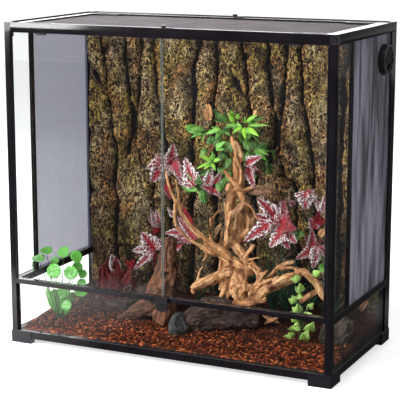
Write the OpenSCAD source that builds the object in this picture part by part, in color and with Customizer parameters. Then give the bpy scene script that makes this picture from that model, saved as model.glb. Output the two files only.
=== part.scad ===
// Reptile terrarium: black rail frame, two hinged glass doors over a fixed front pane, glass and
// mesh side walls, lift-off mesh lid with closable cable inlets, and a planted interior.
// Millimetres. X right, Y back, Z up; the origin is the middle of the footprint on the floor.

/* [Overall] */
// Width over the feet
width = 914; // [850:1:1100]
// Depth over the feet
depth = 457; // [430:1:560]
// Height from the floor to the lips of the top rails
height = 857; // [800:1:1000]

/* [Rails and posts] */
// Side of the posts and depth of every rail
post_w = 18; // [17:0.5:22]
// How far the feet stand out from the frame
foot_proud = 2; // [1:0.5:3]
// Height of the feet under the bottom rails
foot_base = 14; // [10:1:25]
// Height of the foot's outer skirt, from the floor
foot_skirt = 32; // [24:1:33]
// Length of a foot along the front
foot_leg_x = 61; // [45:1:90]
// Length of a foot along the side
foot_leg_y = 66; // [45:1:90]
// Height of the bottom rails
bottom_rail_h = 20; // [18:1:30]
// Height of the top rails, with their lips
top_rail_h = 26; // [25:1:34]
// Thickness of the raised outer lip on the top rails
lip_t = 2.5; // [1.5:0.5:4]
// Height of that lip
lip_h = 2.5; // [1.5:0.5:4]
// How far the faces of the top rails bulge
crown = 1; // [0.5:0.1:1.5]
// Top of the middle rails, from the floor
mid_top = 176; // [150:1:230]
// Height of the front middle rail
mid_front_h = 12.5; // [11:0.5:18]
// Height of the side middle rails
mid_side_h = 18; // [14:0.5:24]
// Extra depth of the back posts
back_post_extra = 20; // [10:1:30]
// Width of the divider in each side wall
divider_w = 13; // [12:1:30]
// Thickness of the dividers
divider_t = 8; // [7.5:0.5:9]
// Distance from the front post to the divider
strip_w = 96; // [60:1:120]
// Depth of the side walls' middle plane behind the outer faces
wall_in = 5; // [4.5:0.5:6]
// Thickness of the front posts' front flange beside the doors
flange_y = 9; // [8.5:0.5:12]
// Thickness of their side flange
flange_x = 10.5; // [10:0.5:13]

/* [Joints of the frame] */
// Side of the square pegs on the corner blocks
peg = 8; // [6:0.5:8.5]
// Length of the pegs in the rails
peg_l = 24; // [15:1:30]
// Length of the pegs in the posts
post_peg_l = 12; // [10:1:20]
// Clearance round pegs and tenons
peg_clear = 0.2; // [0.1:0.05:0.25]
// Height of the top corner blocks
corner_h = 22; // [20:0.5:24]
// Width of the glazing grooves
groove_w = 4.6; // [4.4:0.1:5]
// Depth of the glazing grooves
groove_d = 3.5; // [3:0.1:3.6]
// How deep a pane sits in its groove
bite = 3; // [2:0.1:3]

/* [Panes and screens] */
// Thickness of the glass
glass_t = 4; // [3:0.1:4.2]
// Thickness of the mesh sheets
mesh_t = 1.2; // [0.8:0.1:2]
// Openings along a mesh sheet, which stand for its weave
mesh_count = 12; // [6:1:12]
// Width of the bars between those openings
mesh_bar = 6; // [4:0.5:10]
// Width of the ledge that carries the floor pane
floor_ledge_w = 8; // [5:0.5:12]
// Thickness of the ledges
ledge_t = 3; // [2:0.5:4]

/* [Doors] */
// Radius of the hinge barrels
barrel_r = 3; // [2.8:0.1:3.4]
// Gap round a barrel in its post
barrel_clear = 0.4; // [0.3:0.05:0.6]
// Radius of the pivot pins
pin_r = 1.5; // [1.2:0.1:1.8]
// Radial clearance of every running pin
pin_clear = 0.08; // [0.04:0.01:0.1]
// Depth of the pivot holes
pin_hole = 6; // [4:0.5:7]
// Gap above and below a door
door_gap = 2; // [1.5:0.5:4]
// Gap between the two doors
door_split = 3; // [2:0.5:5]
// Bevel of the post beside a barrel, which lets the glass swing past square
swing_bevel = 2; // [1.8:0.1:2.5]

/* [Lock] */
// Width of the lock housing
lock_w = 33; // [28:1:40]
// Height of the lock housing
lock_h = 38; // [36:1:46]
// Depth of the lock housing
lock_d = 8; // [7.5:0.5:10]
// Wall of the lock housing
lock_wall = 2; // [1.5:0.1:2.5]
// Radius of the key cylinder
cylinder_r = 6.5; // [5.5:0.5:7]
// Travel of the bolt
bolt_travel = 5.5; // [4:0.5:6]

/* [Lid] */
// Width of the bars of the lid frame
lid_bar = 19; // [15:1:25]
// Gap between the lid and the rails
lid_gap = 1; // [0.5:0.25:2]
// Thickness of the lid frame
lid_t = 9.5; // [8.5:0.5:11]
// Width of the ledge that carries the lid
lid_ledge_w = 6; // [4:0.5:8]

/* [Cable inlets] */
// Length of an inlet housing
inlet_l = 82; // [70:1:100]
// Depth of an inlet housing
inlet_w = 30; // [26:1:36]
// Length of the hole in an inlet
inlet_hole_l = 34; // [26:1:36]
// Width of the hole in an inlet
inlet_hole_w = 14; // [10:1:15]

/* [Cable port] */
// Radius of the port ring
port_r = 40; // [36:1:46]
// Width of the port ring's flange outside its hole
port_flange = 9; // [8:0.5:12]
// Distance from the port's centre to the back post
port_from_back = 61; // [56:1:90]
// Distance from the port's centre to the top rails
port_from_top = 64; // [56:1:120]
// Height of the rotating cap
port_cap_h = 10; // [8:0.5:11]

/* [Lid latches] */
// Length of a latch tongue from its pivot
latch_l = 26; // [20:1:34]
// Width of a latch tongue
latch_w = 10; // [8:0.5:10]
// Radius of a latch knob
latch_knob_r = 6.5; // [4:0.5:7]

/* [Interior] */
// Thickness of the background panel behind its bark relief
panel_t = 18; // [12:1:30]
// Greatest height of the bark relief
relief = 20; // [12:1:26]
// Spacing of the bark ridges
ridge_pitch = 97; // [70:1:140]
// Height of the substrate along the front, from the floor
soil_front = 38; // [36:1:60]
// Rise of the substrate per millimetre towards the back
soil_slope = 0.1; // [0.02:0.01:0.14]

/* [Hidden] */
$fn = 48;
eps = 0.01;                       // overshoot of a cut past an open face
cut = 1;                          // reach of a cut into free air
slide_gap = 0.3;                  // gap round a sliding piece
fx = width / 2 - foot_proud;      // outer faces of the frame
fy = depth / 2 - foot_proud;
ix = fx - post_w;                 // inner faces of the posts
iy = fy - post_w;
peg_x = fx - post_w / 2;          // middle of the posts
mid_x = fx - wall_in;             // middle planes of the walls
mid_y = fy - post_w / 2;
rail_z0 = foot_base;
rail_z1 = rail_z0 + bottom_rail_h;
top_z0 = height - top_rail_h;
rail_top = height - lip_h;
corner_z = height - corner_h;
front_mid_z0 = mid_top - mid_front_h;
side_mid_z0 = mid_top - mid_side_h;
back_post_y = iy - back_post_extra;
divider_y0 = -iy + strip_w;
divider_y1 = divider_y0 + divider_w;
socket = peg + 2 * peg_clear;
socket_l = peg_l + 1;
post_socket_l = post_peg_l + 1;
tenon = [5, 7, 6];                // reach, width and height of a middle rail's tenon
pin_len = pin_hole - 0.5;
barrel_x = ix - barrel_r + barrel_clear;
barrel_y = fy - barrel_r;
door_z0 = mid_top + door_gap;
door_z1 = top_z0 - door_gap;
floor_z0 = rail_z0 + ledge_t;
floor_z1 = floor_z0 + glass_t;
lid_z0 = rail_top - lid_t;
lid_x = ix - lid_gap;
lid_y = iy - lid_gap;
lid_in_x = lid_x - lid_bar;
lid_in_y = lid_y - lid_bar;
lid_mesh_z = lid_z0 + 3.5;
inlet_x = lid_in_x - inlet_l / 2 - 1;
inlet_y = lid_in_y + 8 - inlet_w / 2;
inlet_wall = 3;
inlet_floor = 2.5;
inlet_z0 = lid_z0 + 1.5;
inlet_channel = 3.5;
inlet_h = inlet_floor + inlet_channel + 2;
shutter_l = inlet_hole_l + 6;
port_y = back_post_y - port_from_back;
port_z = top_z0 - port_from_top;
port_hole_r = port_r - port_flange;
port_floor = 3;
port_body = 7.4;
port_x = mid_x + mesh_t / 2;      // outer face of the right mesh
port_stem_r = 6;
cable_r = 9;                      // hole for a cable in the port
cable_off = port_hole_r - 14;
latch_y = iy + (post_w - lip_t) / 2;
latch_t = 2.5;
latch_pin_r = 2.5;
lock_z1 = mid_top + 1.5;
lock_z0 = lock_z1 - lock_h;
lock_axis_z = lock_z0 + lock_w / 2;
lock_y = -fy - lock_d;            // front face of the lock housing
bolt_t = 2.6;
bolt_w = 16;
bolt_low = 2.5;                   // how far the lowered bolt stays under the doors
eccentric = bolt_travel / sqrt(2);
drive_r = 1.2;
panel_y = iy - 0.5 - panel_t;     // front of the background panel, behind its relief
inside_x = ix - 0.5;
soil_y0 = -iy + 0.5;

// ---- placing helpers -------------------------------------------------------------------------

// Extrudes a section (across, up) along X, or along Y.
module along_x(x0, x1) translate([x0, 0, 0]) rotate([90, 0, 90]) linear_extrude(x1 - x0) children();
module along_y(y0, y1) translate([0, y1, 0]) rotate([90, 0, 0]) linear_extrude(y1 - y0) children();

// Mirrors a piece made for the left (-1) or right (1) side, and for the front (-1) or back (1).
module on_side(sx) mirror([sx > 0 ? 1 : 0, 0, 0]) children();
module on_end(sy) mirror([0, sy > 0 ? 1 : 0, 0]) children();
module at_corner(sx, sy) on_side(sx) on_end(sy) children();

// A box from its lowest to its highest corner.
module box(lo, hi) translate(lo) cube(hi - lo);

// What a corner of radius r takes off a section whose corner is at the origin, inside x > 0, y > 0.
module corner_waste(r) difference() {
    translate([-cut, -cut]) square(r + cut);
    translate([r, r]) circle(r);
}

// ---- feet, rails, posts ----------------------------------------------------------------------

// Pegs of a corner block, along +X, +Y and dir * Z, from the block's inner corner.
module pegs(z_mid, z_end, dir) {
    box([-ix - eps, -mid_y - peg / 2, z_mid - peg / 2], [-ix + peg_l, -mid_y + peg / 2, z_mid + peg / 2]);
    box([-peg_x - peg / 2, -iy - eps, z_mid - peg / 2], [-peg_x + peg / 2, -iy + peg_l, z_mid + peg / 2]);
    translate([-peg_x, -mid_y, z_end + dir * post_peg_l / 2]) cube([peg, peg, post_peg_l + 2 * eps], center = true);
}

// Corner boot: an L under two rails, a skirt outside them, and the block that the pegs stand on.
module foot(sx, sy) color([0.07, 0.07, 0.08]) at_corner(sx, sy) difference() {
    union() {
        box([-width / 2, -depth / 2, 0], [-width / 2 + foot_leg_x, -iy, foot_base]);
        box([-width / 2, -depth / 2, 0], [-ix, -depth / 2 + foot_leg_y, foot_base]);
        box([-width / 2, -depth / 2, 0], [-width / 2 + foot_leg_x, -fy, foot_skirt]);
        box([-width / 2, -depth / 2, 0], [-fx, -depth / 2 + foot_leg_y, foot_skirt]);
        box([-width / 2, -depth / 2, 0], [-ix, -iy, foot_base + eps]);
        box([-fx - eps, -fy - eps, foot_base - eps], [-ix, -iy, rail_z1]);
        pegs((rail_z0 + rail_z1) / 2, rail_z1, 1);
    }
    translate([-width / 2, -depth / 2, -cut]) linear_extrude(foot_skirt + 2 * cut) corner_waste(3);
    box([-ix - groove_d, -mid_y - groove_w / 2, rail_z1 - groove_d], [-ix + cut, -mid_y + groove_w / 2, rail_z1 + cut]);
    box([-mid_x - groove_w / 2, -iy - groove_d, rail_z1 - groove_d], [-mid_x + groove_w / 2, -iy + cut, rail_z1 + cut]);
}

// Square sockets at both ends of a bar that lies along X from -x1 to x1.
module end_sockets(x1, y, z) for (s = [-1, 1])
    translate([s * (x1 - socket_l / 2 + eps), y, z]) cube([socket_l + 2 * eps, socket, socket], center = true);

module bottom_section(ledge, wall) {
    difference() {
        translate([0, rail_z0]) square([post_w, bottom_rail_h]);
        translate([wall - groove_w / 2, rail_z1 - groove_d]) square([groove_w, groove_d + cut]);
    }
    translate([post_w - eps, rail_z0]) square([ledge + eps, ledge_t]);
}

module bottom_rail_long(sy) color([0.06, 0.06, 0.07]) on_end(sy) difference() {
    along_x(-ix, ix) translate([-fy, 0]) bottom_section(floor_ledge_w, post_w / 2);
    end_sockets(ix, -mid_y, (rail_z0 + rail_z1) / 2);
}

module bottom_rail_short(sx) color([0.06, 0.06, 0.07]) on_side(sx) {
    difference() {
        along_y(-iy, iy) translate([-fx, 0]) bottom_section(0, wall_in);
        rotate(90) end_sockets(iy, peg_x, (rail_z0 + rail_z1) / 2);
    }
    box([-ix - eps, -iy + floor_ledge_w, rail_z0], [-ix + floor_ledge_w, iy - floor_ledge_w, rail_z0 + ledge_t]);
}

// Top rail: crowned outer face, raised lip, groove for the walls below.
module top_section(wall) {
    crown_r = (pow(top_rail_h / 2, 2) + crown * crown) / (2 * crown);
    difference() {
        intersection() {
            union() {
                translate([0, top_z0]) square([post_w, rail_top - top_z0]);
                translate([0, top_z0]) square([lip_t, top_rail_h]);
            }
            translate([crown_r, top_z0 + top_rail_h / 2]) circle(crown_r, $fn = 180);
        }
        translate([wall - groove_w / 2, top_z0 - cut]) square([groove_w, groove_d + cut]);
    }
}

module top_rail_long(sy) color([0.06, 0.06, 0.07]) on_end(sy) difference() {
    union() {
        along_x(-ix, ix) translate([-fy, 0]) top_section(post_w / 2);
        box([-ix, -iy - eps, lid_z0 - ledge_t], [ix, -iy + lid_ledge_w, lid_z0]);
    }
    end_sockets(ix, -mid_y, corner_z + corner_h / 2);
    if (sy < 0) for (s = [-1, 1])
        translate([s * barrel_x, -barrel_y, top_z0 - cut]) cylinder(r = pin_r + pin_clear, h = pin_hole + cut);
    translate([0, -latch_y, rail_top - pin_hole]) cylinder(r = latch_pin_r + pin_clear, h = pin_hole + cut);
}

module top_rail_short(sx) color([0.06, 0.06, 0.07]) on_side(sx) {
    difference() {
        along_y(-iy, iy) translate([-fx, 0]) top_section(wall_in);
        rotate(90) end_sockets(iy, peg_x, corner_z + corner_h / 2);
    }
    box([-ix - eps, -iy + lid_ledge_w, lid_z0 - ledge_t], [-ix + lid_ledge_w, iy - lid_ledge_w, lid_z0]);
}

module top_corners() color([0.08, 0.08, 0.09]) for (sx = [-1, 1], sy = [-1, 1]) at_corner(sx, sy)
    difference() {
        union() {
            box([-fx, -fy, corner_z], [-ix, -iy, height]);
            pegs(corner_z + corner_h / 2, corner_z, -1);
        }
        translate([-fx, -fy, corner_z - cut]) linear_extrude(corner_h + 2 * cut) corner_waste(2);
    }

// Cuts that every post shares: peg sockets at both ends and the groove for the side wall.
module post_cuts(face_y, dir) {
    for (z = [rail_z1, corner_z])
        translate([-peg_x, -mid_y, z]) cube([socket, socket, 2 * post_socket_l], center = true);
    box([-mid_x - groove_w / 2, face_y - (dir > 0 ? groove_d : cut), rail_z1 - cut],
        [-mid_x + groove_w / 2, face_y + (dir > 0 ? cut : groove_d), corner_z + cut]);
}

// Mortise for a tenon: centre of its mouth, and the axis along which it goes in.
module mortise(at, along_axis, z_h) translate(at)
    cube(along_axis == "x" ? [2 * tenon[0] + 2 * peg_clear, tenon[1] + 2 * peg_clear, z_h + 2 * peg_clear]
        : [tenon[1] + 2 * peg_clear, 2 * tenon[0] + 2 * peg_clear, z_h + 2 * peg_clear], center = true);

module post_front(sx) color([0.05, 0.05, 0.06]) on_side(sx) difference() {
    box([-fx, -fy, rail_z1], [-ix, -iy, corner_z]);
    post_cuts(-iy, 1);
    box([-ix - groove_d, -mid_y - groove_w / 2, rail_z1 - cut],
        [-ix + cut, -mid_y + groove_w / 2, front_mid_z0 + groove_d]);
    mortise([-ix, -mid_y, (front_mid_z0 + mid_top) / 2], "x", tenon[2]);
    mortise([-peg_x, -iy, (side_mid_z0 + mid_top) / 2], "y", tenon[2]);
    box([-fx + flange_x, -fy + flange_y, mid_top], [-ix + cut, -iy + cut, corner_z - post_socket_l - 2]);
    translate([-barrel_x, -barrel_y, mid_top]) cylinder(r = barrel_r + barrel_clear, h = height);
    translate([-ix, -fy, mid_top]) rotate(45) cube([swing_bevel * sqrt(2), swing_bevel * sqrt(2), 2 * height], center = true);
    translate([-fx, -fy, 0]) linear_extrude(height) corner_waste(2);
}

module post_back(sx) color([0.05, 0.05, 0.06]) on_side(sx) difference() {
    union() {
        box([-fx, iy, rail_z1], [-ix, fy, corner_z]);
        box([-fx, back_post_y, rail_z1], [-ix, iy + eps, top_z0]);
    }
    on_end(1) for (z = [rail_z1, corner_z])
        translate([-peg_x, -mid_y, z]) cube([socket, socket, 2 * post_socket_l], center = true);
    box([-mid_x - groove_w / 2, back_post_y - cut, rail_z1 - cut],
        [-mid_x + groove_w / 2, back_post_y + groove_d, top_z0 + cut]);
    box([-ix - groove_d, mid_y - groove_w / 2, rail_z1 - cut], [-ix + cut, mid_y + groove_w / 2, corner_z + cut]);
    mortise([-peg_x, back_post_y, (side_mid_z0 + mid_top) / 2], "y", tenon[2]);
    translate([-fx, fy, 0]) mirror([0, 1, 0]) linear_extrude(height) corner_waste(2);
}

// Front middle rail: two grooves along its top, a pane groove below, pivot holes and tenons.
module mid_rail_front() color([0.07, 0.07, 0.08]) difference() {
    union() {
        box([-ix, -fy, front_mid_z0], [ix, -iy, mid_top]);
        for (s = [-1, 1]) translate([s * ix, -mid_y, (front_mid_z0 + mid_top) / 2])
            cube([2 * tenon[0] - 1, tenon[1], tenon[2]], center = true);
    }
    for (y = [-mid_y - 0.5, -mid_y + 4.5])
        box([-ix + 10, y, mid_top - 1.5], [ix - 10, y + 2, mid_top + cut]);
    box([-ix - cut, -mid_y - groove_w / 2, front_mid_z0 - cut], [ix + cut, -mid_y + groove_w / 2, front_mid_z0 + groove_d]);
    for (s = [-1, 1])
        translate([s * barrel_x, -barrel_y, mid_top - pin_hole]) cylinder(r = pin_r + pin_clear, h = pin_hole + cut);
}

module mid_rail_side(sx) color([0.07, 0.07, 0.08]) on_side(sx) difference() {
    union() {
        box([-fx, -iy, side_mid_z0], [-ix, back_post_y, mid_top]);
        for (y = [-iy, back_post_y]) translate([-peg_x, y, (side_mid_z0 + mid_top) / 2])
            cube([tenon[1], 2 * tenon[0] - 1, tenon[2]], center = true);
    }
    for (z = [side_mid_z0 - cut, mid_top - groove_d])
        box([-mid_x - groove_w / 2, -fy, z], [-mid_x + groove_w / 2, fy, z + groove_d + cut]);
}

// Divider between the glass strip and the mesh, with a tongue at each end.
module divider(sx) color([0.05, 0.05, 0.06]) on_side(sx) {
    difference() {
        box([-mid_x - divider_t / 2, divider_y0, mid_top], [-mid_x + divider_t / 2, divider_y1, top_z0]);
        for (y = [divider_y0 - cut, divider_y1 - groove_d])
            box([-mid_x - groove_w / 2, y, mid_top - cut], [-mid_x + groove_w / 2, y + groove_d + cut, top_z0 + cut]);
    }
    tongue = groove_w / 2 - 2 * peg_clear;
    for (z = [mid_top - bite, top_z0 - eps])
        box([-mid_x - tongue, divider_y0 + groove_d + 1, z], [-mid_x + tongue, divider_y1 - groove_d - 1, z + bite + eps]);
}

// ---- panes and screens -----------------------------------------------------------------------

module glass() color([0.75, 0.85, 0.85, 0.3]) children();

// Grid of square openings over a field (across, up), in count columns, drawn flat.
module weave(field, count) {
    step = field[0] / count;
    rows = round(field[1] / step);
    rise = field[1] / rows;
    for (i = [0:count - 1], j = [0:rows - 1])
        translate([i * step + mesh_bar / 2, j * rise + mesh_bar / 2]) square([step - mesh_bar, rise - mesh_bar]);
}

module floor_pane() glass() box([-ix + 0.5, -iy + 0.5, floor_z0], [ix - 0.5, iy - 0.5, floor_z1]);

module back_pane() glass() box([-ix - bite, mid_y - glass_t / 2, rail_z1 - groove_d], [ix + bite, mid_y + glass_t / 2, top_z0 + bite]);

module front_lower_pane() glass()
    box([-ix - bite, -mid_y - glass_t / 2, rail_z1 - groove_d], [ix + bite, -mid_y + glass_t / 2, front_mid_z0 + bite]);

module side_lower_pane(sx) glass() on_side(sx)
    box([-mid_x - glass_t / 2, -iy - bite, rail_z1 - groove_d], [-mid_x + glass_t / 2, back_post_y + bite, side_mid_z0 + bite]);

module strip_pane(sx) glass() on_side(sx)
    box([-mid_x - glass_t / 2, -iy - bite, mid_top - groove_d], [-mid_x + glass_t / 2, divider_y0 + bite, top_z0 + bite]);

// Mesh sheet with the spline that holds its edge in the grooves.
module side_screen(sx) color([0.2, 0.2, 0.22]) difference() {
    on_side(sx) {
        y0 = divider_y1 - bite;
        y1 = back_post_y + bite;
        z0 = mid_top - groove_d;
        z1 = top_z0 + bite;
        difference() {
            box([-mid_x - glass_t / 2, y0, z0], [-mid_x + glass_t / 2, y1, z1]);
            box([-mid_x - glass_t, y0 + bite - 0.5, z0 + bite], [-mid_x - mesh_t / 2, y1 - bite + 0.5, z1 - bite + 0.5]);
            box([-mid_x + mesh_t / 2, y0 + bite - 0.5, z0 + bite], [-mid_x + glass_t, y1 - bite + 0.5, z1 - bite + 0.5]);
            difference() {
                along_x(-mid_x - glass_t, -mid_x + glass_t) translate([divider_y1, top_z0]) rotate(-90)
                    weave([top_z0 - mid_top, back_post_y - divider_y1], mesh_count);
                if (sx > 0) translate([-mid_x, port_y, port_z]) rotate([0, 90, 0])
                    cylinder(r = port_r + mesh_bar, h = 3 * glass_t, center = true);
            }
        }
    }
    if (sx > 0) translate([mid_x, port_y, port_z]) rotate([0, 90, 0])
        cylinder(r = port_hole_r, h = glass_t, center = true);
}

// ---- doors and lock --------------------------------------------------------------------------

module door_glass(sx) glass() on_side(sx)
    box([-barrel_x, -barrel_y - glass_t / 2, door_z0], [-door_split / 2, -barrel_y + glass_t / 2, door_z1]);

// Round hinge barrel that grips the edge of the glass, with a pivot pin at each end.
module door_hinge(sx) color([0.05, 0.05, 0.06]) on_side(sx) translate([-barrel_x, -barrel_y, 0]) {
    difference() {
        translate([0, 0, door_z0]) cylinder(r = barrel_r, h = door_z1 - door_z0);
        box([0, -glass_t / 2, door_z0 - cut], [barrel_r + cut, glass_t / 2, door_z1 + cut]);
    }
    translate([0, 0, mid_top - pin_len]) cylinder(r = pin_r, h = pin_len + door_gap);
    translate([0, 0, door_z1]) cylinder(r = pin_r, h = pin_len + door_gap);
}

// Rubber pads under the top rail that the doors close against.
module door_stops() color([0.04, 0.04, 0.05]) for (sx = [-1, 1]) on_side(sx)
    box([-ix + 75, -barrel_y + glass_t / 2 + 0.5, top_z0 - 5], [-ix + 99, -iy, top_z0]);

module lock_outline(w, z0, z1) {
    translate([0, z0 + w / 2]) circle(w / 2);
    translate([-w / 2, z0 + w / 2]) square([w, z1 - z0 - w / 2]);
}

// Housing of the lock: a U-shaped shell, open behind and above, on the front middle rail.
module lock_housing() color([0.05, 0.05, 0.06]) difference() {
    translate([0, -fy, 0]) rotate([90, 0, 0]) linear_extrude(lock_d) lock_outline(lock_w, lock_z0, lock_z1);
    box([-bolt_w / 2 - slide_gap, lock_y + lock_wall, lock_axis_z - bolt_w / 2 + 1],
        [bolt_w / 2 + slide_gap, -fy + cut, lock_z1 + cut]);
    translate([0, -fy + cut, lock_axis_z]) rotate([90, 0, 0])
        cylinder(r = bolt_w / 2 + slide_gap, h = lock_d - lock_wall + cut);
    translate([0, lock_y - cut, lock_axis_z]) rotate([-90, 0, 0])
        cylinder(r = cylinder_r + pin_clear, h = lock_wall + 2 * cut);
}

// Key cylinder: slotted face in the housing's bore, a flange behind the wall, and the eccentric
// pin that lifts the bolt.
module lock_cylinder() color([0.12, 0.12, 0.13]) translate([0, lock_y - 1, lock_axis_z]) rotate([-90, 0, 0]) {
    flange_z = 1 + lock_wall + slide_gap;
    difference() {
        cylinder(r = cylinder_r, h = flange_z + eps);
        cube([1.6, 7, 3], center = true);
    }
    translate([0, 0, flange_z]) cylinder(r = cylinder_r + 1, h = 1);
    rotate(135) translate([eccentric, 0, flange_z + 1 - eps]) cylinder(r = drive_r, h = lock_d - lock_wall - 1.8);
}

// Bolt: rises in front of both doors when the cylinder turns a quarter.
module lock_bolt() color([0.3, 0.3, 0.32]) {
    y1 = -fy - 0.7;
    y0 = y1 - bolt_t;
    slot_z = lock_axis_z - eccentric / sqrt(2);
    difference() {
        box([-bolt_w / 2, y0, slot_z - 3], [bolt_w / 2, y1, door_z0 - bolt_low]);
        box([-bolt_w / 2 + 2, y0 - cut, slot_z - drive_r - 0.4], [bolt_w / 2 - 2, y1 + cut, slot_z + drive_r + 0.4]);
    }
}

// ---- lid, inlets, latches, port --------------------------------------------------------------

module inlet_footprint(grow) box([-inlet_x - inlet_l / 2 - grow, -inlet_y - inlet_w / 2 - grow, 0],
    [-inlet_x + inlet_l / 2 + grow, -inlet_y + inlet_w / 2 + grow, height + lid_t]);

module lid_frame() color([0.06, 0.06, 0.07]) difference() {
    box([-lid_x, -lid_y, lid_z0], [lid_x, lid_y, rail_top]);
    box([-lid_in_x, -lid_in_y, lid_z0 - cut], [lid_in_x, lid_in_y, rail_top + cut]);
    box([-lid_in_x - bite - 0.5, -lid_in_y - bite - 0.5, lid_mesh_z - 0.3],
        [lid_in_x + bite + 0.5, lid_in_y + bite + 0.5, lid_mesh_z + mesh_t + 0.3]);
    for (sx = [-1, 1], sy = [-1, 1]) at_corner(sx, sy) inlet_footprint(0.1);
}

module lid_screen() color([0.45, 0.45, 0.48]) difference() {
    box([-lid_in_x - bite, -lid_in_y - bite, lid_mesh_z], [lid_in_x + bite, lid_in_y + bite, lid_mesh_z + mesh_t]);
    for (sx = [-1, 1], sy = [-1, 1]) at_corner(sx, sy) inlet_footprint(0);
    translate([0, 0, lid_mesh_z - cut]) linear_extrude(mesh_t + 2 * cut) difference() {
        translate([-lid_in_x, -lid_in_y]) weave([2 * lid_in_x, 2 * lid_in_y], mesh_count);
        for (sx = [-1, 1], sy = [-1, 1]) at_corner(sx, sy) translate([-inlet_x - inlet_l / 2, -inlet_y - inlet_w / 2])
            translate([-mesh_bar, -mesh_bar]) square([inlet_l, inlet_w] + 2 * [mesh_bar, mesh_bar]);
    }
}

// Inlet housing at the left front corner, in its own frame: hole near the outer end, channel above.
module inlet_body() {
    half_l = inlet_l / 2;
    half_w = inlet_w / 2;
    channel = [half_l - inlet_wall, half_w - inlet_wall - 1];
    difference() {
        box([-half_l, -half_w, 0], [half_l, half_w, inlet_h]);
        box([-channel[0], -channel[1], inlet_floor], [channel[0], channel[1], inlet_floor + inlet_channel]);
        box([-channel[0], -channel[1] + 3, inlet_floor], [channel[0], channel[1] - 3, inlet_h + cut]);
        box([-channel[0] + 3, -inlet_hole_w / 2, -cut], [-channel[0] + 3 + inlet_hole_l, inlet_hole_w / 2, inlet_h]);
    }
}

module inlet_housings() color([0.05, 0.05, 0.06]) for (sx = [-1, 1], sy = [-1, 1]) at_corner(sx, sy)
    translate([-inlet_x, -inlet_y, inlet_z0]) inlet_body();

// Sliding shutter with finger ribs, closed over its hole.
module inlet_shutter(sx, sy) color([0.1, 0.1, 0.11]) at_corner(sx, sy)
    translate([-inlet_x - inlet_l / 2 + inlet_wall + slide_gap, -inlet_y, inlet_z0 + inlet_floor + slide_gap]) {
        half_w = inlet_w / 2 - inlet_wall - 1 - slide_gap;
        plate_t = inlet_channel - 2 * slide_gap;
        box([0, -half_w, 0], [shutter_l, half_w, plate_t]);
        for (k = [0:4]) box([shutter_l / 2 - 11 + 5 * k, -half_w + 4, plate_t - eps],
            [shutter_l / 2 - 9 + 5 * k, half_w - 4, plate_t + 3]);
    }

// Turn latch on the top rail: pin, tongue along the rail, round knob.
module lid_latch(sy) color([0.09, 0.09, 0.1]) on_end(sy) translate([0, -latch_y, rail_top]) {
    translate([0, 0, -pin_len]) cylinder(r = latch_pin_r, h = pin_len + 1);
    translate([0, 0, slide_gap]) linear_extrude(latch_t) {
        circle(latch_w / 2);
        translate([0, -latch_w / 2]) square([latch_l - latch_w / 2, latch_w]);
        translate([latch_l - latch_w / 2, 0]) circle(latch_w / 2);
    }
    translate([0, 0, slide_gap + latch_t - eps]) cylinder(r = latch_knob_r, h = 5);
}

module port_place() translate([port_x, port_y, port_z]) rotate([0, 90, 0]) children();

// Collar of the cable port: a cup outside the mesh, with a sleeve through it.
module port_ring() color([0.05, 0.05, 0.06]) port_place() difference() {
    union() {
        cylinder(r = port_r, h = port_body);
        translate([0, 0, -mesh_t - 4]) cylinder(r = port_hole_r - 0.3, h = mesh_t + 4 + eps);
    }
    translate([0, 0, port_floor]) cylinder(r = port_r - 3, h = port_body);
    translate([0, 0, -mesh_t - 4 - cut]) cylinder(r = port_hole_r - 4, h = mesh_t + 4 + cut);
    translate([0, 0, -cut]) cylinder(r = port_stem_r + pin_clear, h = port_body);
    translate([0, cable_off, -cut]) cylinder(r = cable_r, h = port_body);
}

module port_nut() color([0.05, 0.05, 0.06]) port_place() translate([0, 0, -mesh_t - 4]) difference() {
    cylinder(r = port_r - 2, h = 4);
    translate([0, 0, -cut]) cylinder(r = port_hole_r, h = 4 + 2 * cut);
}

// Rotating cap: a disc with a cable hole a quarter turn away from the collar's, and slanted grip ribs.
module port_cap() color([0.08, 0.08, 0.09]) port_place() {
    gap = slide_gap + port_body;
    difference() {
        union() {
            translate([0, 0, gap]) cylinder(r = port_r - 1.5, h = 4);
            translate([0, 0, gap + 4 - eps]) difference() {
                cylinder(r = port_r - 1.5, h = port_cap_h - 4);
                translate([0, 0, -cut]) cylinder(r = port_r - 6, h = port_cap_h);
            }
            intersection() {
                translate([0, 0, gap]) cylinder(r = port_r - 4, h = port_cap_h - 1);
                rotate(40) for (k = [-2:2]) translate([13 * k, 0, gap + port_cap_h / 2])
                    cube([4, 2 * port_r, port_cap_h], center = true);
            }
            translate([0, 0, 0.5]) cylinder(r = port_stem_r, h = gap);
        }
        rotate(-90) translate([0, cable_off, gap - cut]) cylinder(r = cable_r, h = port_cap_h + 2 * cut);
    }
}

// ---- interior --------------------------------------------------------------------------------

function soil_z(y) = soil_front + soil_slope * (y + iy);

// Height of the bark relief across the panel: uneven ridges between narrow grooves.
function bark(x) = relief * (0.2 + 0.8 * pow(abs(sin(180 * x / ridge_pitch + 35 * sin(360 * x / 410))), 0.6)
    * (0.75 + 0.25 * sin(360 * x / 263 + 40)));

module bark_section(back_y) {
    steps = ceil(2 * inside_x / 12);
    polygon(concat([[inside_x, back_y], [-inside_x, back_y]],
        [for (k = [0:steps]) let (x = -inside_x + 2 * inside_x * k / steps) [x, panel_y - bark(x)]]));
}

module background_panel() color([0.35, 0.28, 0.14])
    translate([0, 0, floor_z1]) linear_extrude(door_z1 - floor_z1) bark_section(iy - 0.5);

module substrate() color([0.36, 0.16, 0.09]) difference() {
    along_x(-inside_x, inside_x) polygon([[soil_y0, floor_z1], [panel_y, floor_z1],
        [panel_y, soil_z(panel_y)], [soil_y0, soil_z(soil_y0)]]);
    linear_extrude(height) bark_section(iy);
}

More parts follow.
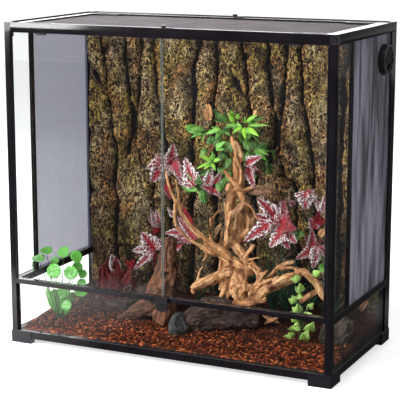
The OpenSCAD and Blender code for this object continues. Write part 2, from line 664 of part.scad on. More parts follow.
// Everything under the surface of the substrate.
module under_soil() along_x(-width, width)
    polygon([[-depth, -height], [depth, -height], [depth, soil_z(depth)], [-depth, soil_z(-depth)]]);

// A limb through points [x, y, z, radius]; z counts from the substrate at its middle.
module limb(points, sides = 6) for (k = [0:len(points) - 2]) hull() {
    for (p = [points[k], points[k + 1]]) translate([p[0], p[1], p[2]]) sphere(r = p[3], $fn = sides);
}

// A flat leaf along +X, of length l and width w.
module leaf(l, w, t = 1.6) translate([0, 0, -t / 2]) linear_extrude(t)
    polygon([[-1.5, 0], [0.4 * l, w / 2], [l, 0], [0.4 * l, -w / 2]]);

// Driftwood root: a burl with a tall trunk, antler-like limbs to the left and heavy limbs to the right.
burl_at = [110, panel_y - 170];
DRIFTWOOD = [
    [[0, 10, -30, 26], [-5, 5, 30, 30], [5, 5, 65, 34], [15, 5, 95, 34], [-5, 10, 130, 24], [-20, 20, 165, 17],
        [-30, 30, 210, 18], [-12, 40, 260, 17], [-25, 40, 315, 15], [-35, 40, 360, 15], [-42, 40, 410, 14], [-50, 40, 465, 11]],
    [[-5, 5, 105, 24], [-45, 0, 160, 17], [-105, -15, 205, 12], [-160, -20, 260, 9], [-200, -20, 320, 7], [-220, -20, 370, 4]],
    [[-70, -8, 178, 10], [-135, -25, 205, 8], [-180, -30, 235, 7], [-188, -30, 280, 6], [-188, -22, 365, 4]],
    [[-55, -5, 170, 12], [-52, -10, 230, 9], [-55, 10, 300, 10], [-45, 25, 335, 11], [-30, 35, 350, 12]],
    [[-50, -8, 235, 8], [-25, 12, 290, 9], [-25, 30, 335, 9]],
    [[-75, -8, 185, 9], [-92, -10, 235, 7], [-88, -10, 265, 5], [-65, -10, 295, 4]],
    [[-25, 50, 300, 16], [10, 58, 325, 18], [50, 60, 332, 16], [75, 60, 308, 8]],
    [[15, 0, 85, 26], [60, 0, 95, 22], [110, 0, 135, 18], [160, 0, 150, 16], [195, 0, 130, 13], [212, -5, 95, 9]],
    [[30, 15, 100, 18], [75, 25, 135, 11], [120, 40, 165, 9], [148, 40, 200, 8], [158, 40, 270, 5]],
    [[150, 40, 240, 6], [180, 40, 250, 4]],
    [[-20, 0, 120, 20], [-60, -10, 138, 16], [-100, -30, 108, 16], [-130, -40, 95, 14]],
    [[-20, 0, 110, 16], [-50, -10, 75, 14], [-56, -20, 0, 14]],
    [[0, 10, 130, 14], [0, 0, 170, 10], [30, -10, 205, 6]],
    [[40, 10, 60, 18], [110, 30, 62, 14], [170, 50, 95, 9]],
    [[-30, -15, 60, 17], [15, -30, 62, 18], [60, -20, 66, 14]],
    [[-25, 40, 315, 7], [10, 20, 275, 5], [40, 10, 255, 3]],
    [[-30, 40, 345, 8], [-50, 35, 360, 6], [-70, 30, 378, 4]]
];

module driftwood() color([0.66, 0.38, 0.2]) difference() {
    translate([burl_at[0], burl_at[1], soil_z(burl_at[1])]) for (points = DRIFTWOOD) limb(points);
    under_soil();
}

// A log from a to b with broken ends.
module log(a, b, ra, rb, sides = 9) hull() {
    translate(a) sphere(r = ra, $fn = sides);
    translate(b) sphere(r = rb, $fn = sides);
}

stump_at = [-150, panel_y - 200];
log_at = [40, soil_y0 + 113];

// Dark stump on the left, fallen logs, and a slab of cork bark on the right.
module logs() color([0.24, 0.15, 0.12]) difference() {
    union() {
        translate([stump_at[0], stump_at[1], soil_z(stump_at[1])]) {
            limb([[-45, 0, -10, 42], [-25, 0, 60, 36], [0, 5, 120, 27], [30, 8, 165, 19], [55, 10, 185, 12]], 8);
            limb([[-30, 45, 10, 26], [-130, 40, 14, 22], [-185, 30, 12, 16]], 8);
        }
        translate([log_at[0], log_at[1], soil_z(log_at[1])]) limb([[-85, -20, 14, 26], [-20, -8, 22, 24], [35, 15, 22, 18]], 8);
        translate([inside_x - 70, panel_y - 175, soil_z(panel_y - 175)])
            limb([[-22, -40, 12, 24], [5, 0, 24, 32], [25, 38, 28, 28]], 8);
    }
    under_soil();
}

// Round-leaved plant by the left wall: stalks from one crown, each with a disc for a leaf.
module round_leaf_plant() color([0.16, 0.5, 0.12]) difference() {
    translate([-ix + 92, soil_y0 + 90, soil_z(soil_y0 + 90)]) round_leaves();
    under_soil();
}

module round_leaves() {
    translate([0, 0, -5]) cylinder(r = 14, h = 15, $fn = 8);
    for (k = [0:12]) {
        turn = 137.5 * k;
        reach = 22 + 26 * ((k * 5) % 13) / 12;
        rise = 150 - 10.5 * k;
        tip = [reach * cos(turn) - 18, reach * sin(turn), rise];
        hull() {
            translate([0, 0, 6]) sphere(r = 3, $fn = 6);
            translate(tip) sphere(r = 1.6, $fn = 6);
        }
        translate(tip) rotate([20 * sin(turn), 25 * cos(turn), turn]) cylinder(r = 17, h = 1.6, $fn = 8);
    }
}

// A stem with leaves: base point, tip point, and leaves turned about the tip.
module sprig(base, tip, count, l, w, lift = 20, sway = 0) {
    hull() {
        translate(base) sphere(r = 2.6, $fn = 6);
        translate(tip) sphere(r = 2, $fn = 6);
    }
    for (k = [0:count - 1])
        translate(tip) rotate([0, 0, sway + 360 * k / count]) rotate([0, -lift + 9 * ((k * 2) % 5), 0]) leaf(l, w);
}

// Red and white leaves: each spray is pinned into the background panel.
module variegated_plant() color([0.55, 0.12, 0.16]) {
    at_panel = panel_y - relief / 2;
    for (s = [[-178, 45, 416], [-120, 35, 412], [-35, 35, 408], [78, 45, 448], [-172, 60, 322],
            [-205, 95, 205], [-120, 95, 240], [168, 95, 292], [246, 60, 410], [300, 80, 342], [284, 105, 246]])
        sprig([s[0] + 8, at_panel + 12, s[2] - 25], [s[0], at_panel - s[1], s[2]], 5, 50, 26, 35, 3 * s[1]);
}

// Pointed green leaves in tufts around the top of the driftwood, pinned into the panel.
module green_leaf_plant() color([0.2, 0.55, 0.1]) {
    at_panel = panel_y - relief / 2;
    for (s = [[-75, 30, 555], [-20, 45, 590], [35, 35, 560], [90, 40, 535], [-110, 30, 500], [-40, 50, 500],
            [20, 45, 505]])
        sprig([s[0], at_panel + 12, s[2] - 30], [s[0], at_panel - s[1], s[2]], 5, 62, 17, 25, 2 * s[1]);
}

// Vine with small pale leaves, standing in the substrate in front of the driftwood's right limb.
module trailing_vine() color([0.4, 0.62, 0.25]) difference() {
    y0 = panel_y - 237;
    steps = [[0, 0, -8], [0, 8, 45], [-6, 10, 90], [-14, 8, 140], [-25, 10, 185]];
    translate([292, y0, soil_z(y0)]) {
        for (k = [0:3]) hull() {
            translate(steps[k]) sphere(r = 3, $fn = 6);
            translate(steps[k + 1]) sphere(r = 2.4, $fn = 6);
        }
        for (k = [1:4], j = [0:2])
            translate(steps[k]) rotate([0, -15, 120 * j + 40 * k]) leaf(30, 22);
        for (k = [0:4]) translate([0, 0, 6 + 2 * k]) rotate([0, -60, 72 * k]) leaf(40, 5, 2);
    }
    under_soil();
}

// Low maroon plant in front of the panel on the left.
module maroon_plant() color([0.33, 0.1, 0.16]) difference() {
    translate([-ix + 172, panel_y - 110, soil_z(panel_y - 110)]) maroon_leaves();
    under_soil();
}

module maroon_leaves() {
    translate([0, 0, -5]) cylinder(r = 10, h = 13, $fn = 8);
    for (k = [0:8]) {
        turn = 137.5 * k;
        tip = [(12 + 3 * k) * cos(turn), (12 + 3 * k) * sin(turn), 110 - 9 * k];
        sprig([0, 0, 5], tip, 3, 34, 18, 20, turn);
    }
}

foot(-1, -1);  // foot_front_left
foot(1, -1);  // foot_front_right
foot(-1, 1);  // foot_back_left
foot(1, 1);  // foot_back_right
bottom_rail_long(-1);  // bottom_rail_front
bottom_rail_long(1);  // bottom_rail_back
bottom_rail_short(-1);  // bottom_rail_left
bottom_rail_short(1);  // bottom_rail_right
post_front(-1);  // post_front_left
post_front(1);  // post_front_right
post_back(-1);  // post_back_left
post_back(1);  // post_back_right
top_corners();
top_rail_long(-1);  // top_rail_front
top_rail_long(1);  // top_rail_back
top_rail_short(-1);  // top_rail_left
top_rail_short(1);  // top_rail_right
mid_rail_front();
mid_rail_side(-1);  // mid_rail_left
mid_rail_side(1);  // mid_rail_right
divider(-1);  // divider_left
divider(1);  // divider_right
floor_pane();
back_pane();
front_lower_pane();
side_lower_pane(-1);  // left_lower_pane
side_lower_pane(1);  // right_lower_pane
strip_pane(-1);  // left_strip_pane
strip_pane(1);  // right_strip_pane
side_screen(-1);  // left_screen
side_screen(1);  // right_screen
door_glass(-1);  // door_left_glass
door_hinge(-1);  // door_left_hinge
door_glass(1);  // door_right_glass
door_hinge(1);  // door_right_hinge
door_stops();
lock_housing();
lock_cylinder();
lock_bolt();
lid_frame();
lid_screen();
inlet_housings();
inlet_shutter(-1, -1);  // inlet_shutter_front_left
inlet_shutter(1, -1);  // inlet_shutter_front_right
inlet_shutter(-1, 1);  // inlet_shutter_back_left
inlet_shutter(1, 1);  // inlet_shutter_back_right
lid_latch(-1);  // lid_latch_front
lid_latch(1);  // lid_latch_back
port_ring();
port_nut();
port_cap();
background_panel();
substrate();
driftwood();
logs();
round_leaf_plant();
variegated_plant();
green_leaf_plant();
trailing_vine();
maroon_plant();
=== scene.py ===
"""Planted reptile terrarium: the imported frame's finishes, and its mesh, bark, soil, root and plants.

Every length is in metres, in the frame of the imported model: X right, Y back, Z up, origin under the
middle of the footprint.
"""

from __future__ import annotations

import logging
import math
import random
from dataclasses import dataclass, field
from enum import Enum
from typing import Callable, Iterable, Sequence

import bmesh
import bpy
from mathutils import Euler, Matrix, Vector, noise
from mathutils.kdtree import KDTree


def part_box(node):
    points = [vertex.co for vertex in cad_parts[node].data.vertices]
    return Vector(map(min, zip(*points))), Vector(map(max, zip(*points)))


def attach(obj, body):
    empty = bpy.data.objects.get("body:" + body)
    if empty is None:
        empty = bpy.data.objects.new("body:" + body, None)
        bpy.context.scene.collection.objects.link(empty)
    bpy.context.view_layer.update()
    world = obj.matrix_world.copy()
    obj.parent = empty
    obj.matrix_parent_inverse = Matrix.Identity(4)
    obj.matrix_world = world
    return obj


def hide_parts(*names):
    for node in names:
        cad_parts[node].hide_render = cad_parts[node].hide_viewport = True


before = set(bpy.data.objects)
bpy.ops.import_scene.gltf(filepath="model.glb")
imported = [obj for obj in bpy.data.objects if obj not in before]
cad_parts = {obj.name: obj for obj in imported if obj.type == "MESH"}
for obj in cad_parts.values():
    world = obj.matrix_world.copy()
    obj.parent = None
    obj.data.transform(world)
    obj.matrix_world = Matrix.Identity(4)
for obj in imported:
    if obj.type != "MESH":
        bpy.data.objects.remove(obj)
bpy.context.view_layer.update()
log = logging.getLogger("terrarium")

MM = 0.001
Colour = tuple[float, float, float]
Point = tuple[float, float, float]
Span = tuple[float, float]


# ---- materials ---------------------------------------------------------------------------------


class Shader:
    """A material's node tree, with short calls that add and join its nodes."""

    def __init__(self, name: str) -> None:
        """Makes an empty material.

        Args:
            name: The material's name.
        """
        self.material = bpy.data.materials.new(name)
        self.material.use_nodes = True
        self.open(self.material.node_tree)

    def open(self, tree: bpy.types.NodeTree) -> None:
        """Takes up a node tree and empties it."""
        self.nodes = tree.nodes
        self.links = tree.links
        self.nodes.clear()

    @classmethod
    def on(cls, tree: bpy.types.NodeTree) -> Shader:
        """A shader that fills a tree which is already there, such as the world's."""
        made = cls.__new__(cls)
        made.open(tree)
        return made

    def add(self, kind: str, **inputs: object) -> bpy.types.Node:
        """Adds a node.

        Args:
            kind: Node type without its ShaderNode prefix.
            **inputs: Input values or sockets, by name with _ for a space.

        Returns:
            The node.
        """
        node = self.nodes.new("ShaderNode" + kind)
        for name, value in inputs.items():
            self.set(node.inputs[name.replace("_", " ")], value)
        return node

    def set(self, socket: bpy.types.NodeSocket, value: object) -> None:
        """Sets a socket to a number, vector or colour, or links it to another socket."""
        if isinstance(value, bpy.types.NodeSocket):
            self.links.new(value, socket)
        elif socket.type == "RGBA" and len(value) == 3:
            socket.default_value = (*value, 1.0)
        else:
            socket.default_value = value

    def place(self, stretch: Point = (1.0, 1.0, 1.0), turn: Point = (0.0, 0.0, 0.0)) -> bpy.types.NodeSocket:
        """Object coordinates, stretched and turned."""
        where = self.add("TexCoord").outputs["Object"]
        return self.add("Mapping", Vector=where, Scale=stretch, Rotation=turn).outputs["Vector"]

    def grain(
        self, where: bpy.types.NodeSocket, scale: float, detail: float = 3.0, distortion: float = 0.0,
              rough: float = 0.55
    ) -> bpy.types.NodeSocket:
        """The factor of a noise texture."""
        node = self.add("TexNoise", Vector=where, Scale=scale, Detail=detail, Distortion=distortion,
                        Roughness=rough)
        return node.outputs["Fac"]

    def math(self, what: str, a: object, b: object = 0.0, clamp: bool = False) -> bpy.types.NodeSocket:
        """A Math node's result."""
        node = self.nodes.new("ShaderNodeMath")
        node.operation = what
        node.use_clamp = clamp
        self.set(node.inputs[0], a)
        self.set(node.inputs[1], b)
        return node.outputs[0]

    def ramp(self, value: bpy.types.NodeSocket,
             stops: Sequence[tuple[float, Colour]]) -> bpy.types.NodeSocket:
        """A colour ramp through the given stops."""
        node = self.add("ValToRGB", Fac=value)
        bar = node.color_ramp.elements
        while len(bar) > 1:
            bar.remove(bar[-1])
        for k, (at, colour) in enumerate(stops):
            stop = bar[0] if k == 0 else bar.new(at)
            stop.position = at
            stop.color = (*colour, 1.0)
        return node.outputs["Color"]

    def span(self, value: bpy.types.NodeSocket, low: float, high: float,
             to: tuple[float, float] = (0.0, 1.0)) -> bpy.types.NodeSocket:
        """A value moved from the span low..high to another, and held inside it."""
        node = self.nodes.new("ShaderNodeMapRange")
        node.clamp = True
        self.set(node.inputs["Value"], value)
        for name, number in zip(("From Min", "From Max", "To Min", "To Max"), (low, high, *to)):
            node.inputs[name].default_value = number
        return node.outputs["Result"]

    def mix(self, share: object, a: object, b: object, how: str = "MIX") -> bpy.types.NodeSocket:
        """A mix of two colours."""
        node = self.nodes.new("ShaderNodeMix")
        node.data_type = "RGBA"
        node.blend_type = how
        sockets = [s for s in node.inputs if s.enabled]
        self.set(sockets[0], share)
        self.set(sockets[1], a)
        self.set(sockets[2], b)
        return next(s for s in node.outputs if s.enabled)

    def mix_value(self, share: object, a: object, b: object) -> bpy.types.NodeSocket:
        """A mix of two numbers."""
        node = self.nodes.new("ShaderNodeMix")
        node.data_type = "FLOAT"
        for socket, value in zip((i for i in node.inputs if i.enabled), (share, a, b)):
            self.set(socket, value)
        return next(o for o in node.outputs if o.enabled)

    def attribute(self, name: str, what: str = "Fac") -> bpy.types.NodeSocket:
        """An attribute stored on the mesh."""
        node = self.nodes.new("ShaderNodeAttribute")
        node.attribute_name = name
        return node.outputs[what]

    def bump(self, height: bpy.types.NodeSocket, depth: float, strength: float = 1.0) -> bpy.types.NodeSocket:
        """A normal raised by height over depth metres."""
        return self.add("Bump", Height=height, Distance=depth, Strength=strength).outputs["Normal"]

    def finish(self, **inputs: object) -> bpy.types.Material:
        """Ends the tree in one Principled shader with these inputs."""
        body = self.add("BsdfPrincipled", **inputs)
        out = self.add("OutputMaterial")
        self.links.new(body.outputs[0], out.inputs["Surface"])
        return self.material


@dataclass(frozen=True)
class GlossBlack:
    """Coated or moulded black surface with a faint grain and wiped-over sheen."""

    name: str
    colour: Colour = (0.005, 0.004, 0.0055)
    roughness: float = 0.085
    grain_scale: float = 900.0
    grain_depth: float = 0.00001
    specular: float = 0.45
    rounding: float = 0.0

    def material(self) -> bpy.types.Material:
        """Builds the material."""
        s = Shader(self.name)
        where = s.place()
        smear = s.grain(where, 9.0, 2.0)
        grain = s.grain(where, self.grain_scale, 1.0)
        tone = s.mix(s.span(smear, 0.35, 0.7), self.colour, tuple(c * 1.5 + 0.001 for c in self.colour))
        rough = s.span(smear, 0.3, 0.75, (self.roughness * 0.8, self.roughness * 1.35))
        normal = s.bump(grain, self.grain_depth)
        if self.rounding:
            s.links.new(s.add("Bevel", Radius=self.rounding).outputs["Normal"], normal.node.inputs["Normal"])
        return s.finish(Base_Color=tone, Roughness=rough, Normal=normal, Specular_IOR_Level=self.specular)


@dataclass(frozen=True)
class ClearGlass:
    """Thin float glass: see-through, with a weak reflection and a green tint that shows at the cut edges."""

    name: str
    tint: Colour = (0.99, 0.997, 0.993)
    least: float = 0.022

    def material(self) -> bpy.types.Material:
        """Builds the material."""
        s = Shader(self.name)
        edge_on = s.math("POWER", s.add("LayerWeight", Blend=0.5).outputs["Facing"], 5.0)
        clear = s.add("BsdfTransparent", Color=self.tint)
        gloss = s.add("BsdfGlossy", Color=(1.0, 1.0, 1.0), Roughness=0.02)
        smear = s.span(s.grain(s.place(), 5.0, 3.0), 0.45, 0.75, (self.least, self.least * 1.2))
        share = s.math("ADD", s.math("MULTIPLY", edge_on, 1.0 - self.least), smear, clamp=True)
        shown = s.add("MixShader", Fac=share)
        s.links.new(clear.outputs[0], shown.inputs[1])
        s.links.new(gloss.outputs[0], shown.inputs[2])
        s.links.new(shown.outputs[0], s.add("OutputMaterial").inputs["Surface"])
        return s.material


@dataclass(frozen=True)
class GlassEdge:
    """Polished cut edge of a pane."""

    name: str
    colour: Colour = (0.32, 0.42, 0.37)

    def material(self) -> bpy.types.Material:
        """Builds the material."""
        s = Shader(self.name)
        cloud = s.grain(s.place((1.0, 1.0, 0.2)), 160.0, 2.0)
        tone = s.mix(s.span(cloud, 0.3, 0.7), self.colour, tuple(c * 1.35 for c in self.colour))
        return s.finish(Base_Color=tone, Roughness=0.12)


@dataclass(frozen=True)
class WireFinish:
    """Drawn wire of a woven mesh, slightly uneven along its length; with fold, vertical bands of painted
    shade and light stand for the fabric's folds, and the left wall's wires are painted bluer as painted
    light.
    """

    name: str
    colour: Colour
    # fold: contrast of the painted shade and light in the bands for the folds, and more than 0 brings in the
    # left wall's painted tint.
    fold: float = 0.0
    roughness: float = 0.45
    # Painted light: the bluer colour of the left wall's wires, as they look from inside against the light.
    left: Colour = (0.13, 0.132, 0.23)

    def material(self) -> bpy.types.Material:
        """Builds the material."""
        s = Shader(self.name)
        # With fold: vertical bands of painted shade and painted light for the fabric's folds, the noise
        # stretched upright and its contrast raised by fold.
        where, scale = (s.place((1.0, 1.0, 0.12)), 30.0) if self.fold else (s.place(), 14.0)
        cloud = s.grain(where, scale, 2.0)
        dark = tuple(c * (0.85 - self.fold) for c in self.colour)
        pale = tuple(c * (1.12 + self.fold) for c in self.colour)
        tone = s.mix(s.span(cloud, 0.38, 0.62), dark, pale)
        if self.fold:
            # Painted light: from X = 0.2 m to -0.2 m the tone moves to left, so the left wall's wires are
            # bluer than the right wall's.
            right = s.span(s.add("SeparateXYZ", Vector=s.add("TexCoord").outputs["Object"]).outputs["X"],
                           -0.2, 0.2)
            tone = s.mix(right, self.left, tone)
        return s.finish(Base_Color=tone, Roughness=self.roughness)


@dataclass(frozen=True)
class RubberFinish:
    """Dull black rubber."""

    name: str

    def material(self) -> bpy.types.Material:
        """Builds the material."""
        s = Shader(self.name)
        speck = s.grain(s.place(), 700.0, 2.0)
        return s.finish(Base_Color=(0.02, 0.02, 0.021), Roughness=0.7, Normal=s.bump(speck, 0.00008))


@dataclass(frozen=True)
class SteelFinish:
    """Brushed steel."""

    name: str

    def material(self) -> bpy.types.Material:
        """Builds the material."""
        s = Shader(self.name)
        brush = s.grain(s.place((1.0, 1.0, 40.0)), 120.0, 2.0)
        rough = s.span(brush, 0.3, 0.7, (0.25, 0.42))
        return s.finish(Base_Color=(0.55, 0.55, 0.56), Metallic=1.0, Roughness=rough,
                        Normal=s.bump(brush, 0.00003))


@dataclass(frozen=True)
class BarkFinish:
    """Rough bark relief: tan and olive curls over dark wood, and orange patches; orange on the plates' lit
    left edges as painted light; painted shade in the clefts, down the plates' far sides and towards the bed.
    """

    name: str
    # Near-black of painted shade, used in the clefts, down the plates' far sides and towards the bed.
    painted_shade: Colour = (0.014, 0.011, 0.013)
    gap: Colour = (0.045, 0.025, 0.015)
    tan: Colour = (1.0, 0.76, 0.44)
    olive: Colour = (0.92, 0.66, 0.18)
    orange: Colour = (1.0, 0.44, 0.14)
    curl_scale: float = 104.0

    def curls(self, s: Shader, tilt: float, scale: float) -> bpy.types.NodeSocket:
        """Worm-like ridges that lean by tilt radians."""
        lean = s.place((1.0, 1.0, 0.62), (0.0, tilt, 0.0))
        node = s.add("TexNoise", Vector=lean, Scale=scale, Detail=1.0, Distortion=0.9, Roughness=0.4)
        return s.span(s.math("ABSOLUTE", s.math("SUBTRACT", node.outputs["Fac"], 0.5)), 0.03, 0.085,
                      (1.0, 0.0))

    def material(self) -> bpy.types.Material:
        """Builds the material."""
        s = Shader(self.name)
        leaning = self.curls(s, 0.65, self.curl_scale)
        crossing = self.curls(s, -0.5, self.curl_scale * 1.15)
        region = s.span(s.grain(s.place(), 26.0, 1.0), 0.42, 0.58)
        curls = s.mix_value(region, leaning, crossing)
        specks = s.span(s.grain(s.place(), 170.0, 1.0, 0.5), 0.45, 0.6)
        relief = s.attribute("relief")
        edge = s.attribute("edge")
        patch = s.grain(s.place((1.0, 1.0, 0.6)), 12.0, 2.0)
        bright = s.mix(s.span(patch, 0.4, 0.6), self.olive, self.tan)
        glow = s.span(s.grain(s.place((1.0, 1.0, 0.7)), 15.0, 3.0, 0.5), 0.5, 0.64, (0.0, 0.75))
        # Painted light: orange along the plates' left edges, where the light falls, by the edge attribute;
        # glow adds orange patches at random.
        warm = s.math("MAXIMUM", s.math("MULTIPLY", edge, s.span(s.grain(s.place(), 18.0, 2.0), 0.36, 0.54)),
                      glow)
        bright = s.mix(warm, bright, self.orange)
        share = s.math("MULTIPLY", curls, s.span(specks, 0.0, 1.0, (0.7, 1.0)), clamp=True)
        skin = s.mix(share, self.gap, bright)
        skin = s.mix(s.math("MULTIPLY", s.span(s.grain(s.place((1.0, 1.0, 0.5)), 40.0, 3.0, 0.4), 0.5, 0.62),
                            0.5), skin, self.gap)
        # Painted shade: where the relief is low, in the clefts and down each plate's far side, the colour
        # goes to the shade colour.
        tone = s.mix(s.span(relief, 0.2, 0.66), self.painted_shade, skin)
        # Painted shade towards the bed: below z = 0.32 m the bark is mixed toward the shade colour, up to 70%
        # at 0.08 m and below.
        up = s.add("SeparateXYZ", Vector=s.add("TexCoord").outputs["Object"]).outputs["Z"]
        tone = s.mix(s.span(up, 0.08, 0.32, (0.7, 0.0)), tone, self.painted_shade)
        height = s.math("ADD", curls, s.math("MULTIPLY", specks, 0.3))
        return s.finish(Base_Color=tone, Roughness=0.75, Normal=s.bump(height, 0.008),
                        Specular_IOR_Level=0.25)


@dataclass(frozen=True)
class ChipFinish:
    """Red-brown bark chips, each with its own tone and a fibrous face; painted shade darkens them towards the
    back.
    """

    name: str
    tones: tuple[Colour, ...] = ((0.01, 0.003, 0.002), (0.04, 0.009, 0.004), (0.2, 0.036, 0.011),
                                 (0.6, 0.12, 0.032), (1.0, 0.38, 0.12))
    # Near-black of painted shade at the back of the bed.
    back_shade: Colour = (0.012, 0.006, 0.005)

    def material(self) -> bpy.types.Material:
        """Builds the material."""
        s = Shader(self.name)
        fibre = s.grain(s.place((1.0, 1.0, 2.0)), 420.0, 2.0, 0.5)
        base = s.ramp(s.attribute("tone"), list(zip((0.0, 0.35, 0.65, 0.85, 1.0), self.tones)))
        colour = s.mix(s.span(fibre, 0.38, 0.6), s.mix(0.5, base, self.tones[0]), base)
        # Painted shade: mixed toward near-black, from none at y = -0.13 m to 80% at y = 0 m and behind.
        deep = s.add("SeparateXYZ", Vector=s.add("TexCoord").outputs["Object"]).outputs["Y"]
        colour = s.mix(s.span(deep, -0.13, 0.0, (0.0, 0.8)), colour, self.back_shade)
        return s.finish(Base_Color=colour, Roughness=0.8, Normal=s.bump(fibre, 0.0006),
                        Specular_IOR_Level=0.2)


@dataclass(frozen=True)
class WoodFinish:
    """Bare or barked wood whose streaks follow the limb by the attributes along and around."""

    name: str
    dark: Colour
    mid: Colour
    light: Colour
    streak: float = 260.0
    depth: float = 0.0025
    roughness: float = 0.6

    def material(self) -> bpy.types.Material:
        """Builds the material."""
        s = Shader(self.name)
        grain = s.attribute("grain", "Vector")
        lines = s.grain(grain, self.streak, 3.0, 0.5, 0.6)
        fine = s.grain(grain, self.streak * 2.3, 2.0, 0.3)
        patch = s.grain(s.place(), 20.0, 3.0, 0.4)
        hollow = s.attribute("hollow")
        tone = s.ramp(s.math("ADD", s.math("MULTIPLY", lines, 0.6), s.math("MULTIPLY", patch, 0.4)),
                      [(0.36, self.dark), (0.46, self.mid), (0.58, self.light)])
        tone = s.mix(s.span(fine, 0.36, 0.46, (0.85, 0.0)), tone, self.dark)
        # Painted shade: darker, up to 85%, in the carved grooves and pits, by the hollow attribute.
        tone = s.mix(s.span(hollow, 0.35, 0.85, (0.0, 0.85)), tone, self.dark)
        height = s.math("ADD", lines, s.math("MULTIPLY", fine, 0.4))
        return s.finish(Base_Color=tone, Roughness=self.roughness, Normal=s.bump(height, self.depth),
                        Specular_IOR_Level=0.3)


@dataclass(frozen=True)
class LeafFinish:
    """Leaf blade drawn in its own map: leaf_at holds the share of the length and the place across it."""

    name: str
    base: Colour
    vein: Colour
    margin: Colour
    vein_width: float = 0.09
    margin_from: float = 0.8
    side_veins: float = 5.0
    ragged: float = 0.12
    tones: tuple[Colour, ...] = ()
    specks: float = 0.0
    roughness: float = 0.42

    def material(self) -> bpy.types.Material:
        """Builds the material."""
        s = Shader(self.name)
        split = s.add("SeparateXYZ", Vector=s.attribute("leaf_at", "Vector"))
        along, across = split.outputs["X"], split.outputs["Y"]
        side = s.math("ABSOLUTE", across)
        tear = s.grain(s.attribute("leaf_at", "Vector"), 9.0, 3.0, 0.6)
        # The tone sets how light each leaf is: partly the leaf's own colour, partly painted light and shade,
        # high for lit leaves and low for shaded ones.
        tone = s.attribute("tone")
        if self.tones:
            body = s.ramp(tone, [(k / (len(self.tones) - 1), c) for k, c in enumerate(self.tones)])
        else:
            body = s.mix(tone, tuple(c * 0.62 for c in self.base),
                         tuple(min(c * 1.3, 1.0) for c in self.base))
        lit = s.mix(s.span(s.grain(s.place(), 60.0, 2.0), 0.4, 0.65, (0.0, 0.35)), body, self.vein)
        vein = s.mix(0.55, body, self.vein)
        slant = s.math("SUBTRACT", along, s.math("MULTIPLY", side, 0.35))
        wave = s.math("ABSOLUTE", s.math("SINE", s.math("MULTIPLY", slant, math.pi * self.side_veins)))
        ribs = s.span(wave, 0.0, 0.25, (0.8, 0.0))
        middle = s.span(side, self.vein_width * 0.4, self.vein_width, (1.0, 0.0))
        body = s.mix(s.math("MAXIMUM", ribs, middle), lit, vein)
        if self.specks > 0.0:
            dots = s.span(s.grain(s.place(), 260.0, 1.0), 0.56, 0.64, (0.0, self.specks))
            body = s.mix(s.math("MULTIPLY", dots, s.span(tone, 0.75, 0.95)), body, (0.8, 0.95, 0.8))
        frayed = s.math("ADD", side, s.math("MULTIPLY", s.math("SUBTRACT", tear, 0.5), self.ragged * 6.0))
        body = s.mix(s.span(frayed, self.margin_from - 0.06, self.margin_from + 0.06), body, self.margin)
        normal = s.bump(s.math("ADD", s.math("MULTIPLY", middle, -0.6), s.math("MULTIPLY", ribs, -0.4)),
                        0.0012)
        return s.finish(Base_Color=body, Roughness=self.roughness, Normal=normal, Specular_IOR_Level=0.35)


@dataclass(frozen=True)
class VariegatedFinish:
    """Red leaf with a ragged white margin, which the tone moves in: all red at 0, nearly white at 1."""

    name: str
    dark: Colour = (0.13, 0.01, 0.018)
    red: Colour = (0.42, 0.012, 0.024)
    pink: Colour = (0.55, 0.09, 0.11)
    white: Colour = (1.0, 0.93, 0.94)

    def material(self) -> bpy.types.Material:
        """Builds the material."""
        s = Shader(self.name)
        at = s.attribute("leaf_at", "Vector")
        split = s.add("SeparateXYZ", Vector=at)
        along, side = split.outputs["X"], s.math("ABSOLUTE", split.outputs["Y"])
        tone = s.attribute("tone")
        jag = s.math("MULTIPLY", s.math("SUBTRACT", s.grain(at, 6.0, 3.0, 0.4), 0.5), 0.5)
        slant = s.math("ADD", s.math("SUBTRACT", along, s.math("MULTIPLY", side, 0.34)), jag)
        ribs = s.span(s.math("SINE", s.math("MULTIPLY", slant, 34.0)), -0.2, 0.3)
        middle = s.span(side, 0.05, 0.13, (1.0, 0.0))
        outer = s.span(side, 0.15, 0.7)
        line = s.mix(outer, self.pink, self.white)
        body = s.mix(s.math("MULTIPLY", ribs, s.span(tone, 0.15, 0.5, (0.2, 0.95))), self.dark, line)
        body = s.mix(middle, body, self.red)
        plain = s.mix(s.span(s.grain(s.place(), 150.0, 3.0), 0.4, 0.6), self.dark, self.red)
        body = s.mix(s.span(tone, 0.05, 0.3), plain, body)
        heart = s.math("MULTIPLY", s.span(along, 0.1, 0.4, (1.0, 0.0)), s.span(tone, 0.2, 0.95, (1.0, 0.3)))
        body = s.mix(s.math("MULTIPLY", heart, 0.85), body, self.red)
        tear = s.math("MULTIPLY", s.math("SUBTRACT", s.grain(s.place(), 130.0, 3.0, 0.8, 0.7), 0.5), 2.4)
        along_rib = s.math("MULTIPLY", s.math("SUBTRACT", ribs, 0.6), 0.8)
        rim = s.math("SUBTRACT", s.math("ADD", s.math("ADD", side, tear), along_rib),
                     s.span(tone, 0.05, 1.0, (1.7, 0.3)))
        body = s.mix(s.span(rim, -0.05, 0.04), body, self.white)
        normal = s.bump(s.math("ADD", ribs, s.math("MULTIPLY", middle, -0.6)), 0.0012)
        return s.finish(Base_Color=body, Roughness=0.34, Normal=normal, Specular_IOR_Level=0.3)


